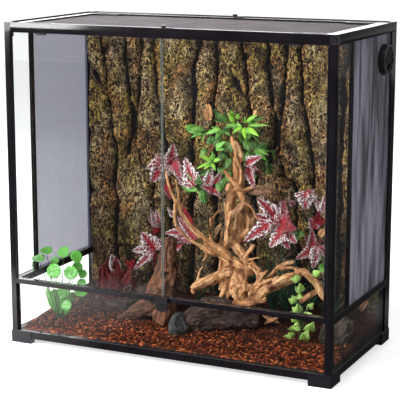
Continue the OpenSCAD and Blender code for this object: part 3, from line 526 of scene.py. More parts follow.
@dataclass(frozen=True)
class DryFinish:
    """Curled dead leaf, tan to orange-brown."""

    name: str
    tones: tuple[Colour, ...] = ((0.06, 0.03, 0.02), (0.2, 0.09, 0.05), (0.42, 0.22, 0.11), (0.62, 0.3, 0.1))

    def material(self) -> bpy.types.Material:
        """Builds the material."""
        s = Shader(self.name)
        split = s.add("SeparateXYZ", Vector=s.attribute("leaf_at", "Vector"))
        middle = s.span(s.math("ABSOLUTE", split.outputs["Y"]), 0.04, 0.12, (0.7, 0.0))
        mottle = s.grain(s.place(), 110.0, 3.0, 0.5)
        body = s.ramp(s.attribute("tone"), [(k / 3, c) for k, c in enumerate(self.tones)])
        body = s.mix(s.span(mottle, 0.4, 0.62, (0.6, 0.0)), body, self.tones[0])
        body = s.mix(middle, body, self.tones[0])
        return s.finish(Base_Color=body, Roughness=0.6, Normal=s.bump(mottle, 0.001), Specular_IOR_Level=0.3)


@dataclass(frozen=True)
class StemFinish:
    """Plain green or brown stem with darker patches."""

    name: str
    colour: Colour

    def material(self) -> bpy.types.Material:
        """Builds the material."""
        s = Shader(self.name)
        cloud = s.grain(s.place(), 90.0, 2.0)
        tone = s.mix(s.span(cloud, 0.35, 0.65), tuple(c * 0.55 for c in self.colour), self.colour)
        return s.finish(Base_Color=tone, Roughness=0.5, Normal=s.bump(cloud, 0.0004))


class Finish(Enum):
    """Every finish on the terrarium."""

    PROFILE = GlossBlack("gloss_black", rounding=2.2 * MM)
    MOULDED = GlossBlack("moulded_black", (0.01, 0.009, 0.012), 0.2, 1400.0, 0.00004)
    FITTING = GlossBlack("fitting_black", (0.008, 0.008, 0.009), 0.24, 1600.0, 0.00005)
    GLASS = ClearGlass("clear_glass")
    EDGE = GlassEdge("glass_edge", (0.13, 0.15, 0.14))
    SIDE_WIRE = WireFinish("side_wire", (0.18, 0.168, 0.21), 0.5)
    LID_WIRE = WireFinish("lid_wire", (0.23, 0.2, 0.22))
    RUBBER = RubberFinish("dull_rubber")
    STEEL = SteelFinish("brushed_steel")
    BARK = BarkFinish("bark_relief")
    CHIPS = ChipFinish("red_chips")
    DRIFTWOOD = WoodFinish("bare_root", (0.17, 0.055, 0.02), (0.6, 0.27, 0.1), (0.95, 0.58, 0.3))
    STUMP = WoodFinish("stump_bark", (0.032, 0.016, 0.01), (0.14, 0.056, 0.031), (0.3, 0.125, 0.062), 170.0,
                       0.004, 0.8)
    LOG = WoodFinish("log_bark", (0.016, 0.01, 0.009), (0.05, 0.03, 0.025), (0.14, 0.085, 0.065), 170.0,
                     0.004, 0.8)
    STONE = WoodFinish("weathered_end", (0.022, 0.02, 0.022), (0.055, 0.052, 0.057), (0.13, 0.12, 0.125),
                       90.0, 0.003, 0.7)
    CORK = WoodFinish("cork_slab", (0.012, 0.009, 0.007), (0.045, 0.033, 0.024), (0.15, 0.11, 0.08), 120.0,
                      0.005, 0.85)
    ROUND_LEAF = LeafFinish("round_leaf", (0.0, 0.0, 0.0), (0.25, 0.75, 0.14), (0.12, 0.6, 0.05), 0.07, 0.93,
                            0.0, 0.04,
                            ((0.006, 0.04, 0.004), (0.016, 0.13, 0.008), (0.055, 0.33, 0.016)), 0.9)
    POINTED_LEAF = LeafFinish("pointed_leaf", (0.0, 0.0, 0.0), (0.4, 0.72, 0.14), (0.16, 0.4, 0.06), 0.1,
                              0.95, 4.0, 0.02,
                              ((0.008, 0.045, 0.025), (0.022, 0.11, 0.022), (0.07, 0.27, 0.03),
                               (0.2, 0.5, 0.1), (0.32, 0.66, 0.03)))
    RED_LEAF = VariegatedFinish("red_leaf")
    DRY_LEAF = DryFinish("dry_leaf")
    MAROON_LEAF = VariegatedFinish("maroon_leaf", (0.045, 0.006, 0.008), (0.3, 0.034, 0.036),
                                   (0.24, 0.06, 0.065))
    PALE_LEAF = LeafFinish("pale_leaf", (0.0, 0.0, 0.0), (0.6, 0.75, 0.3), (0.5, 0.72, 0.26), 0.12, 0.9, 4.0,
                           0.03,
                           ((0.1, 0.24, 0.02), (0.24, 0.46, 0.05), (0.42, 0.68, 0.14)))
    GRASS = LeafFinish("grass_blade", (0.02, 0.075, 0.045), (0.06, 0.2, 0.12), (0.05, 0.15, 0.07), 0.2, 0.95,
                       0.0, 0.02)
    GREEN_STEM = StemFinish("green_stem", (0.035, 0.09, 0.018))
    BROWN_STEM = StemFinish("brown_stem", (0.09, 0.055, 0.035))

    def material(self) -> bpy.types.Material:
        """The finish's material, built once."""
        if self not in BUILT:
            BUILT[self] = self.value.material()
        return BUILT[self]


BUILT: dict[Finish, bpy.types.Material] = {}


# ---- geometry nodes ----------------------------------------------------------------------------


class Tree:
    """A Geometry Nodes tree with named inputs, run on a mesh and turned into a plain one."""

    def __init__(self, name: str) -> None:
        """Makes a tree with a geometry input and output."""
        self.group = bpy.data.node_groups.new(name, "GeometryNodeTree")
        self.keys: dict[str, str] = {}
        self.input("Geometry", "NodeSocketGeometry")
        self.group.interface.new_socket("Geometry", in_out="OUTPUT", socket_type="NodeSocketGeometry")
        self.inputs = self.group.nodes.new("NodeGroupInput")
        self.output = self.group.nodes.new("NodeGroupOutput")

    def input(self, name: str, kind: str) -> None:
        """Adds a named input of a socket type."""
        item = self.group.interface.new_socket(name, in_out="INPUT", socket_type=kind)
        self.keys[name] = item.identifier

    def add(self, kind: str, **inputs: object) -> bpy.types.Node:
        """Adds a node and sets or links its inputs by name, with _ for a space."""
        node = self.group.nodes.new(kind)
        for name, value in inputs.items():
            socket = node.inputs[name.replace("_", " ")]
            if isinstance(value, bpy.types.NodeSocket):
                self.group.links.new(value, socket)
            else:
                socket.default_value = value
        return node

    def attribute(self, name: str, kind: str) -> bpy.types.NodeSocket:
        """A named attribute of type FLOAT or FLOAT_VECTOR."""
        node = self.group.nodes.new("GeometryNodeInputNamedAttribute")
        node.data_type = kind
        node.inputs["Name"].default_value = name
        return next(s for s in node.outputs if s.enabled and s.name == "Attribute")

    def given(self, name: str) -> bpy.types.NodeSocket:
        """The socket of a named input."""
        return self.inputs.outputs[name]

    def end(self, result: bpy.types.NodeSocket) -> None:
        """Joins the result to the tree's output."""
        self.group.links.new(result, self.output.inputs[0])

    def run(self, name: str, source: bpy.types.Mesh, **values: object) -> bpy.types.Object:
        """Runs the tree on a mesh.

        Args:
            name: The new piece's name.
            source: The mesh that the tree starts from.
            **values: The tree's inputs by name.

        Returns:
            A plain mesh object at the origin, with no modifier.
        """
        start = bpy.data.objects.new(name + "_start", source)
        bpy.context.scene.collection.objects.link(start)
        modifier = start.modifiers.new("nodes", "NODES")
        modifier.node_group = self.group
        for key, value in values.items():
            modifier[self.keys[key]] = value
        start.update_tag()
        bpy.context.view_layer.update()
        made = start.evaluated_get(bpy.context.evaluated_depsgraph_get())
        mesh = bpy.data.meshes.new_from_object(made)
        start.modifiers.remove(modifier)
        bpy.data.objects.remove(start)
        return Piece.from_mesh(name, mesh)


class Piece:
    """Short calls that make and finish mesh objects."""

    @staticmethod
    def from_mesh(name: str, mesh: bpy.types.Mesh) -> bpy.types.Object:
        """Links a mesh into the scene as an object at the origin."""
        mesh.name = name
        obj = bpy.data.objects.new(name, mesh)
        bpy.context.scene.collection.objects.link(obj)
        return obj

    @staticmethod
    def from_data(name: str, points: Sequence[Point], faces: Sequence[Sequence[int]],
                  edges: Sequence[tuple[int, int]] = ()) -> bpy.types.Mesh:
        """A mesh from its points and faces, or edges."""
        mesh = bpy.data.meshes.new(name)
        mesh.from_pydata(points, edges, faces)
        mesh.update()
        return mesh

    @staticmethod
    def floats(mesh: bpy.types.Mesh, name: str, values: Sequence[float]) -> None:
        """Stores one number for each vertex."""
        mesh.attributes.new(name, "FLOAT", "POINT").data.foreach_set("value", values)

    @staticmethod
    def vectors(mesh: bpy.types.Mesh, name: str, values: Sequence[Point]) -> None:
        """Stores one vector for each vertex."""
        flat = [c for v in values for c in v]
        mesh.attributes.new(name, "FLOAT_VECTOR", "POINT").data.foreach_set("vector", flat)

    @staticmethod
    def dress(obj: bpy.types.Object, finish: Finish, body: str, slot: str, *nodes: str,
              smooth: bool = True) -> bpy.types.Object:
        """Gives a piece its finish, body and the nodes that it stands for."""
        obj.data.materials.clear()
        obj.data.materials.append(finish.material())
        if smooth:
            obj.data.polygons.foreach_set("use_smooth", [True] * len(obj.data.polygons))
        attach(obj, body)
        if nodes:
            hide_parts(*nodes)
        log.info("%s: %d faces", obj.name, len(obj.data.polygons))
        return obj


def wire_tree(sides: int) -> Tree:
    """A tree that turns edges into round rods, as thick as the attribute radius says.

    Args:
        sides: Sides of a rod.

    Returns:
        The tree.
    """
    tree = Tree(f"rods_{sides}")
    tree.input("Material", "NodeSocketMaterial")
    curve = tree.add("GeometryNodeMeshToCurve", Mesh=tree.given("Geometry"))
    ring = tree.add("GeometryNodeCurvePrimitiveCircle", Resolution=sides, Radius=1.0)
    rods = tree.add("GeometryNodeCurveToMesh", Curve=curve.outputs[0], Profile_Curve=ring.outputs[0],
                    Scale=tree.attribute("radius", "FLOAT"), Fill_Caps=True)
    painted = tree.add("GeometryNodeSetMaterial", Geometry=rods.outputs[0], Material=tree.given("Material"))
    tree.end(painted.outputs[0])
    return tree


def scatter_tree() -> Tree:
    """A tree that puts a copy of an object on each point, by the attributes turn, grow and tone."""
    tree = Tree("scatter")
    tree.input("Object", "NodeSocketObject")
    tree.input("Material", "NodeSocketMaterial")
    shape = tree.add("GeometryNodeObjectInfo", Object=tree.given("Object"))
    turned = tree.add("FunctionNodeEulerToRotation", Euler=tree.attribute("turn", "FLOAT_VECTOR"))
    copies = tree.add("GeometryNodeInstanceOnPoints", Points=tree.given("Geometry"),
                      Instance=shape.outputs["Geometry"],
                      Rotation=turned.outputs[0], Scale=tree.attribute("grow", "FLOAT_VECTOR"))
    real = tree.add("GeometryNodeRealizeInstances", Geometry=copies.outputs[0])
    painted = tree.add("GeometryNodeSetMaterial", Geometry=real.outputs[0], Material=tree.given("Material"))
    tree.end(painted.outputs[0])
    return tree


@dataclass
class Spots:
    """Places where copies of one shape stand."""

    at: list[Vector] = field(default_factory=list)
    turn: list[Euler] = field(default_factory=list)
    grow: list[Vector] = field(default_factory=list)
    tone: list[float] = field(default_factory=list)

    def add(self, at: Vector, turn: Euler, grow: float | Vector, tone: float) -> None:
        """Adds a place."""
        self.at.append(at)
        self.turn.append(turn)
        self.grow.append(grow if isinstance(grow, Vector) else Vector((grow, grow, grow)))
        self.tone.append(tone)

    def build(self, name: str, shape: bpy.types.Object, finish: Finish) -> bpy.types.Object:
        """Stands copies of a shape on the places as one mesh."""
        mesh = Piece.from_data(name + "_spots", self.at, [])
        Piece.vectors(mesh, "turn", [tuple(e) for e in self.turn])
        Piece.vectors(mesh, "grow", [tuple(v) for v in self.grow])
        Piece.floats(mesh, "tone", self.tone)
        return scatter_tree().run(name, mesh, Object=shape, Material=finish.material())


@dataclass
class Rods:
    """Paths that become round rods."""

    paths: list[list[Vector]] = field(default_factory=list)
    radii: list[list[float]] = field(default_factory=list)

    def add(self, path: Sequence[Vector], radii: float | Sequence[float]) -> None:
        """Adds a path with one radius, or a radius for each point."""
        self.paths.append(list(path))
        self.radii.append([radii] * len(path) if isinstance(radii, float) else list(radii))

    def build(self, name: str, sides: int, finish: Finish) -> bpy.types.Object:
        """Builds every rod as one mesh."""
        points, edges, radii = [], [], []
        for path, widths in zip(self.paths, self.radii):
            first = len(points)
            points += path
            radii += widths
            edges += [(first + k, first + k + 1) for k in range(len(path) - 1)]
        mesh = Piece.from_data(name + "_paths", points, [], edges)
        Piece.floats(mesh, "radius", radii)
        return wire_tree(sides).run(name, mesh, Material=finish.material())


def smooth_path(points: Sequence[Sequence[float]], step: float) -> list[list[float]]:
    """A Catmull-Rom path through points, sampled about every step along their first three values.

    Args:
        points: Points whose first three values are a place.
        step: Distance between samples.

    Returns:
        The samples.
    """
    ends = [points[0], *points, points[-1]]
    out = []
    for a, b, c, d in zip(ends, ends[1:], ends[2:], ends[3:]):
        count = max(1, math.ceil(math.dist(b[:3], c[:3]) / step))
        for k in range(count):
            t = k / count
            out.append([
                0.5 * (2 * q + (r - p) * t + (2 * p - 5 * q + 4 * r - s) * t**2
                       + (3 * q - p - 3 * r + s) * t**3)
                for p, q, r, s in zip(a, b, c, d)
            ])
    out.append(list(points[-1]))
    return out


# ---- the frame, glass and fittings ---------------------------------------------------------------


@dataclass
class Carcass:
    """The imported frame, panes and fittings, which keep their own solids and get their finishes."""

    profile: tuple[str, ...] = ("bottom_rail", "post", "top_rail", "mid_rail", "divider", "lid_frame")
    moulded: tuple[str, ...] = ("foot", "top_corners")
    fitting: tuple[str, ...] = ("inlet", "lid_latch", "port", "lock_housing", "lock_cylinder")

    def finish_for(self, node: str) -> Finish | None:
        """The finish of a node that keeps its solid, or None."""
        if node.endswith(("_pane", "_glass")):
            return Finish.GLASS
        if node.startswith(self.profile) or node.endswith("_hinge"):
            return Finish.PROFILE
        if node.startswith(self.moulded):
            return Finish.MOULDED
        if node.startswith(self.fitting):
            return Finish.FITTING
        return {"door_stops": Finish.RUBBER, "lock_bolt": Finish.STEEL}.get(node)

    def build(self) -> None:
        """Dresses each node."""
        for node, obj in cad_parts.items():
            finish = self.finish_for(node)
            if finish is None:
                continue
            obj.data.materials.clear()
            obj.data.materials.append(finish.material())


@dataclass
class Screens:
    """Woven wire in the side walls and the lid."""

    pitch: float = 2.0 * MM
    wire: float = 0.4 * MM
    lid_wire: float = 0.3 * MM
    fold: float = 1.6 * MM

    def side(self, side: int, node: str) -> bpy.types.Object:
        """Mesh in a side wall, with a round hole for the cable port on the right.

        Args:
            side: -1 for the left wall, 1 for the right.
            node: The node that it stands for.

        Returns:
            The piece.
        """
        low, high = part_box(node)
        x = (low[0] + high[0]) / 2
        y0, y1 = low[1] + 1 * MM, high[1] - 1 * MM
        z0, z1 = low[2] + 1 * MM, high[2] - 1 * MM
        hole = self.port_hole() if side > 0 else None
        rods = Rods()

        def place(y: float, z: float, layer: float) -> Vector:
            edge = min(1.0, (y - y0) / 0.02, (y1 - y) / 0.02)
            turn = 2 * math.pi * (y - y0)
            wave = math.sin(turn / 0.093) + 0.5 * math.sin(turn / 0.041 + 1.0)
            sway = self.fold * (0.5 if side > 0 else 0.05) * wave * max(edge, 0.0)
            return Vector((x + layer + sway, y, z))

        for k in range(int((y1 - y0) / self.pitch) + 1):
            y = y0 + k * self.pitch
            for a, b in self.spans(z0, z1, hole, y, 1):
                rods.add([place(y, a, self.wire), place(y, b, self.wire)], self.wire)
        for k in range(int((z1 - z0) / self.pitch) + 1):
            z = z0 + k * self.pitch
            for a, b in self.spans(y0, y1, hole, z, 0):
                count = max(2, math.ceil((b - a) / 0.0095))
                path = [place(a + (b - a) * j / count, z, -self.wire) for j in range(count + 1)]
                rods.add(path, self.wire)
        return rods.build(node.replace("screen", "mesh"), 4, Finish.SIDE_WIRE)

    def port_hole(self) -> tuple[float, float, float]:
        """Centre and radius of the port's hole in the right mesh."""
        low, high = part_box("port_ring")
        return (low[1] + high[1]) / 2, (low[2] + high[2]) / 2, (high[1] - low[1]) / 2 - 8 * MM

    @staticmethod
    def spans(a: float, b: float, hole: tuple[float, float, float] | None, at: float,
              axis: int) -> list[tuple[float, float]]:
        """The stretches of a wire from a to b that miss a round hole."""
        if hole is None or abs(at - hole[1 - axis]) >= hole[2]:
            return [(a, b)]
        half = math.sqrt(hole[2] ** 2 - (at - hole[1 - axis]) ** 2)
        return [s for s in ((a, hole[axis] - half), (hole[axis] + half, b)) if s[1] - s[0] > 2 * MM]

    def lid(self) -> bpy.types.Object:
        """Mesh of the lid, cut away under the cable inlets."""
        low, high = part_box("lid_screen")
        _, inlet_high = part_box("inlet_housings")
        z = (low[2] + high[2]) / 2
        reach_x, reach_y = inlet_high[0] - 82.5 * MM, inlet_high[1] - 30.5 * MM
        rods = Rods()
        for k in range(int((high[0] - low[0]) / self.pitch) + 1):
            x = low[0] + k * self.pitch
            y = reach_y if abs(x) > reach_x else high[1] - 0.5 * MM
            rods.add([Vector((x, -y, z + self.lid_wire)), Vector((x, y, z + self.lid_wire))], self.lid_wire)
        for k in range(int((high[1] - low[1]) / self.pitch) + 1):
            y = low[1] + k * self.pitch
            x = reach_x if abs(y) > reach_y else high[0] - 0.5 * MM
            rods.add([Vector((-x, y, z - self.lid_wire)), Vector((x, y, z - self.lid_wire))], self.lid_wire)
        return rods.build("lid_mesh", 4, Finish.LID_WIRE)

    def build(self) -> None:
        """Builds the three meshes."""
        Piece.dress(self.side(-1, "left_screen"), Finish.SIDE_WIRE, "enclosure", "side_mesh", "left_screen")
        Piece.dress(self.side(1, "right_screen"), Finish.SIDE_WIRE, "enclosure", "side_mesh", "right_screen")
        Piece.dress(self.lid(), Finish.LID_WIRE, "lid", "lid_mesh", "lid_screen")


@dataclass
class DoorEdges:
    """Polished edges where the two doors meet."""

    proud: float = 0.06 * MM
    width: float = 1.1 * MM

    def build(self) -> None:
        """Lays a thin ground strip on the meeting edge of each door."""
        for side, door in (("left", "door_left"), ("right", "door_right")):
            low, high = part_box(f"door_{side}_glass")
            x = high[0] if side == "left" else low[0]
            mesh = bmesh.new()
            inward = -1 if side == "left" else 1
            self.strip(mesh, (x + self.proud * -inward, x + inward * self.width),
                       (low[1] - self.proud, high[1] + self.proud), (low[2], high[2]))
            data = bpy.data.meshes.new("edge")
            mesh.to_mesh(data)
            mesh.free()
            obj = Piece.from_mesh(f"{door}_edge", data)
            Piece.dress(obj, Finish.EDGE, door, "glass", smooth=False)

    @staticmethod
    def strip(mesh: bmesh.types.BMesh, xs: tuple[float, float], ys: tuple[float, float],
              zs: tuple[float, float]) -> None:
        """Adds a closed strip with bevelled long edges."""
        made = bmesh.ops.create_cube(mesh, size=1.0)
        for v in made["verts"]:
            v.co = Vector((
                xs[0] + (xs[1] - xs[0]) * (v.co.x + 0.5),
                ys[0] + (ys[1] - ys[0]) * (v.co.y + 0.5),
                zs[0] + (zs[1] - zs[0]) * (v.co.z + 0.5),
            ))
        long_edges = [e for e in mesh.edges if abs((e.verts[0].co - e.verts[1].co).z) > 0.1]
        bmesh.ops.bevel(mesh, geom=long_edges, offset=0.2 * MM, segments=1, affect="EDGES")
        bmesh.ops.recalc_face_normals(mesh, faces=mesh.faces)


# ---- bark, soil, wood ----------------------------------------------------------------------------


@dataclass
class BarkPanel:
    """Bark relief behind the plants: two like sheets side by side, split by wandering clefts."""

    step: float = 2.9 * MM
    tile: float = 0.4365
    back: float = 12 * MM
    rim_relief: float = 0.3
    clefts: tuple[tuple[float, tuple[tuple[float, float], ...]], ...] = (
        (5.0, ((37, 830), (37, 773), (50, 736), (53, 702), (57, 662), (63, 622), (67, 579), (70, 536),
               (74, 508), (87, 480), (84, 423), (81, 377), (88, 320), (80, 250), (86, 160), (80, 30))),
        (4.5, ((114, 830), (114, 731), (121, 682), (128, 643), (131, 615), (138, 600))),
        (6.0, ((138, 600), (141, 570), (138, 527), (128, 486), (120, 450))),
        (5.0, ((168, 830), (169, 747), (166, 699), (163, 656), (160, 616), (150, 570), (147, 527), (151, 485),
               (160, 457), (170, 430), (196, 420), (206, 380), (203, 300), (212, 220), (205, 120),
               (210, 30))),
        (4.5, ((210, 830), (210, 716), (216, 688), (215, 648), (226, 615), (229, 575), (233, 533), (244, 500),
               (250, 460), (252, 400), (262, 330), (258, 240), (266, 150), (262, 30))),
        (6.5, ((350, 830), (349, 779), (331, 708), (334, 666), (331, 610), (329, 554), (326, 498), (326, 442),
               (332, 380), (322, 300), (330, 200), (324, 100), (328, 30))),
        (5.0, ((398, 830), (398, 753), (401, 670), (389, 600), (396, 520), (404, 440), (398, 350), (408, 240),
               (400, 120), (405, 30))),
        (7.0, ((10, 700), (30, 660), (50, 640))),
        (6.0, ((60, 760), (48, 745), (36, 735))),
    )

    def beside(self, x: float, z: float) -> tuple[float, float]:
        """How a point stands to the clefts: the plate's fall, 0 in the clefts, and how near its lit left edge
        is, which the finish paints orange as painted light.

        Args:
            x: Millimetres from the tile's left edge.
            z: Millimetres from the floor.

        Returns:
            The fall and the nearness of the edge, each from 0 to 1.
        """
        fall, edge = 1.0, 0.0
        wide = self.tile / MM
        for width, line in self.clefts:
            top, bottom = line[0][1], line[-1][1]
            if not bottom - 20 < z < top + 20:
                continue
            strength = min(1.0, (top + 20 - z) / 40, (z - bottom + 20) / 40)
            for (ax, az), (bx, bz) in zip(line, line[1:]):
                if bz <= z <= az or (z > top and az == top) or (z < bottom and bz == bottom):
                    t = max(0.0, min(1.0, (az - z) / max(az - bz, 1e-6)))
                    away = (x - ax - (bx - ax) * t + wide / 2) % wide - wide / 2
                    reach = width * 0.55 if away > 0 else width * 2.6
                    fall *= 1 - strength * math.exp(-((abs(away) / reach) ** 1.6))
                    if away > 0:
                        edge = max(edge, strength * math.exp(-((away / 13) ** 2)))
                    break
        return fall, edge

    def height(self, x: float, z: float) -> tuple[float, float]:
        """Height of the relief and nearness of a lit edge, at metres from the panel's left edge and floor."""
        tx = (x % self.tile) / MM
        tz = z / MM
        at = Vector((tx / 1000, 0.0, tz / 1000))
        sway = 5 * noise.noise(at * 24) + 3 * noise.noise(at * 70)
        fall, edge = self.beside(tx + sway, tz)
        broad = noise.noise(Vector((at.x * 20 + at.z * 6, 1.3, at.z * 13)))
        plates = 0.68 + 0.6 * broad + 0.2 * noise.noise(at * 42)
        curls = 0.12 * (1 - 2 * abs(noise.noise(Vector((at.x * 85 + at.z * 60, 4.0, at.z * 60)))))
        return max(0.0, min(1.0, (plates + curls) * fall)), edge

    def build(self) -> None:
        """Builds the panel as a closed slab with a relief front."""
        low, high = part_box("background_panel")
        columns = int((high[0] - low[0]) / self.step) + 1
        rows = int((high[2] - low[2]) / self.step) + 1
        face = high[1] - self.back
        points: list[Point] = []
        relief: list[float] = []
        edge: list[float] = []
        for r in range(rows + 1):
            z = low[2] + (high[2] - low[2]) * r / rows
            for c in range(columns + 1):
                x = low[0] + (high[0] - low[0]) * c / columns
                h, near = self.height(x - low[0], z)
                points.append((x, face - h * (face - low[1]), z))
                relief.append(h)
                edge.append(near)
        faces = close_grid(points, columns, rows, lambda p: (p[0], high[1], p[2]))
        rim = len(points) - len(relief)
        relief += [self.rim_relief] * rim
        edge += [0.0] * rim
        mesh = Piece.from_data("bark_panel", points, faces)
        Piece.floats(mesh, "relief", relief)
        # edge: nearness of a plate's lit left edge, which the finish paints orange as painted light.
        Piece.floats(mesh, "edge", edge)
        obj = Piece.from_mesh("bark_panel", mesh)
        turn_outward(obj)
        Piece.dress(obj, Finish.BARK, "enclosure", "bark_panel", "background_panel")


def close_grid(points: list[Point], columns: int, rows: int,
               to_back: Callable[[Point], Point]) -> list[Sequence[int]]:
    """Faces of a grid of points, of the walls round it and of the flat back that closes it.

    Args:
        points: The grid's points, row by row. Those of the back are added to them.
        columns: Cells across.
        rows: Cells up.
        to_back: Where a point of the rim lies on the back.

    Returns:
        The faces.
    """
    wide = columns + 1
    faces: list[Sequence[int]] = [
        (r * wide + c, r * wide + c + 1, (r + 1) * wide + c + 1, (r + 1) * wide + c)
        for r in range(rows) for c in range(columns)
    ]
    rim = (
        [c for c in range(wide)] + [r * wide + columns for r in range(1, rows + 1)]
        + [rows * wide + c for c in range(columns - 1, -1, -1)] + [r * wide for r in range(rows - 1, 0, -1)]
    )
    first, count = len(points), len(rim)
    points += [to_back(points[i]) for i in rim]
    faces += [(rim[k], first + k, first + (k + 1) % count, rim[(k + 1) % count]) for k in range(count)]
    faces.append([first + k for k in range(count)])
    return faces


def turn_outward(obj: bpy.types.Object) -> None:
    """Turns a closed mesh's faces outwards."""
    mesh = bmesh.new()
    mesh.from_mesh(obj.data)
    bmesh.ops.recalc_face_normals(mesh, faces=mesh.faces)
    mesh.to_mesh(obj.data)
    mesh.free()


@dataclass
class Ground:
    """Sloping bed of bark chips."""

    slope: float = 0.1
    front_height: float = 38 * MM
    front_y: float = -0.2085
    cells: tuple[int, int] = (150, 64)
    chips: int = 12500
    edge_chips: int = 520
    seed: int = 11

    def top(self, y: float) -> float:
        """Height of the bed's plane at y."""
        return self.front_height + self.slope * (y - self.front_y)

    def swell(self, x: float, y: float) -> float:
        """Small rises and dips of the bed."""
        swells = noise.noise(Vector((x * 9, y * 9, 0.0)))
        return 4 * MM * swells + 2 * MM * noise.noise(Vector((x * 30, y * 30, 3.0)))

    def chip(self) -> bpy.types.Object:
        """One split chip, about 1 unit long: a thin wedge with skewed ends."""
        points = [
            (-0.5, -0.2, -0.09), (0.42, -0.26, -0.07), (0.5, 0.16, -0.05), (-0.38, 0.26, -0.1),
            (-0.46, -0.16, 0.08), (0.36, -0.2, 0.12), (0.44, 0.1, 0.06), (-0.3, 0.2, 0.14),
        ]
        faces = [(0, 3, 2, 1), (4, 5, 6, 7), (0, 1, 5, 4), (1, 2, 6, 5), (2, 3, 7, 6), (3, 0, 4, 7)]
        return Piece.from_mesh("chip_shape", Piece.from_data("chip_shape", points, faces))

    def build(self) -> None:
        """Builds the bed and its loose chips."""
        low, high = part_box("substrate")
        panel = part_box("background_panel")[0][1] + 14 * MM
        nx, ny = self.cells
        points: list[Point] = []
        for j in range(ny + 1):
            y = low[1] + (panel - low[1]) * j / ny
            for i in range(nx + 1):
                x = low[0] + (high[0] - low[0]) * i / nx
                points.append((x, y, self.top(y) - 2 * MM + self.swell(x, y)))
        faces = close_grid(points, nx, ny, lambda p: (p[0], p[1], low[2]))
        bed = Piece.from_mesh("chip_bed", Piece.from_data("chip_bed", points, faces))
        draw = random.Random(self.seed)
        Piece.floats(bed.data, "tone", [draw.random() for _ in points])
        turn_outward(bed)
        Piece.dress(bed, Finish.CHIPS, "enclosure", "bark_chips", "substrate")

        shape = self.chip()
        spots = Spots()
        for _ in range(self.chips):
            x = draw.uniform(low[0] + 6 * MM, high[0] - 6 * MM)
            y = draw.uniform(low[1] + 5 * MM, panel - 4 * MM)
            size = draw.uniform(4.5, 10) * MM
            at = Vector((x, y, self.top(y) + self.swell(x, y) + draw.uniform(-1.5, 3.0) * MM))
            turn = Euler((draw.gauss(0, 0.6), draw.gauss(0, 0.5), draw.uniform(0, 6.283)))
            spots.add(at, turn, Vector((size, size * draw.uniform(0.5, 1.0), size * draw.uniform(0.7, 1.4))),
                      draw.random())
        for _ in range(self.edge_chips):
            x = draw.uniform(low[0] + 6 * MM, high[0] - 6 * MM)
            z = draw.uniform(low[2] + 2 * MM, self.top(low[1]) - 1 * MM)
            size = draw.uniform(7, 13) * MM
            turn = Euler((draw.gauss(1.57, 0.15), draw.uniform(-0.5, 0.5), draw.gauss(0, 0.12)))
            spots.add(Vector((x, low[1] + 1.4 * MM, z)), turn, Vector((size, size * 0.6, size * 0.6)),
                      draw.random())
        chips = spots.build("loose_chips", shape, Finish.CHIPS)
        bpy.data.objects.remove(shape)
        self.hold_inside(chips, low, high)
        Piece.dress(chips, Finish.CHIPS, "enclosure", "bark_chips", smooth=False)

    @staticmethod
    def hold_inside(obj: bpy.types.Object, low: Sequence[float], high: Sequence[float]) -> None:
        """Keeps every corner of the chips between the walls."""
        for v in obj.data.vertices:
            v.co.x = min(max(v.co.x, low[0]), high[0])
            v.co.y = max(v.co.y, low[1])
            v.co.z = max(v.co.z, low[2])


@dataclass
class Limb:
    """A limb through points (x, y, z, radius), in millimetres from its tree's base."""

    points: Sequence[tuple[float, float, float, float]]
    flutes: int = 3
    fluting: float = 0.13


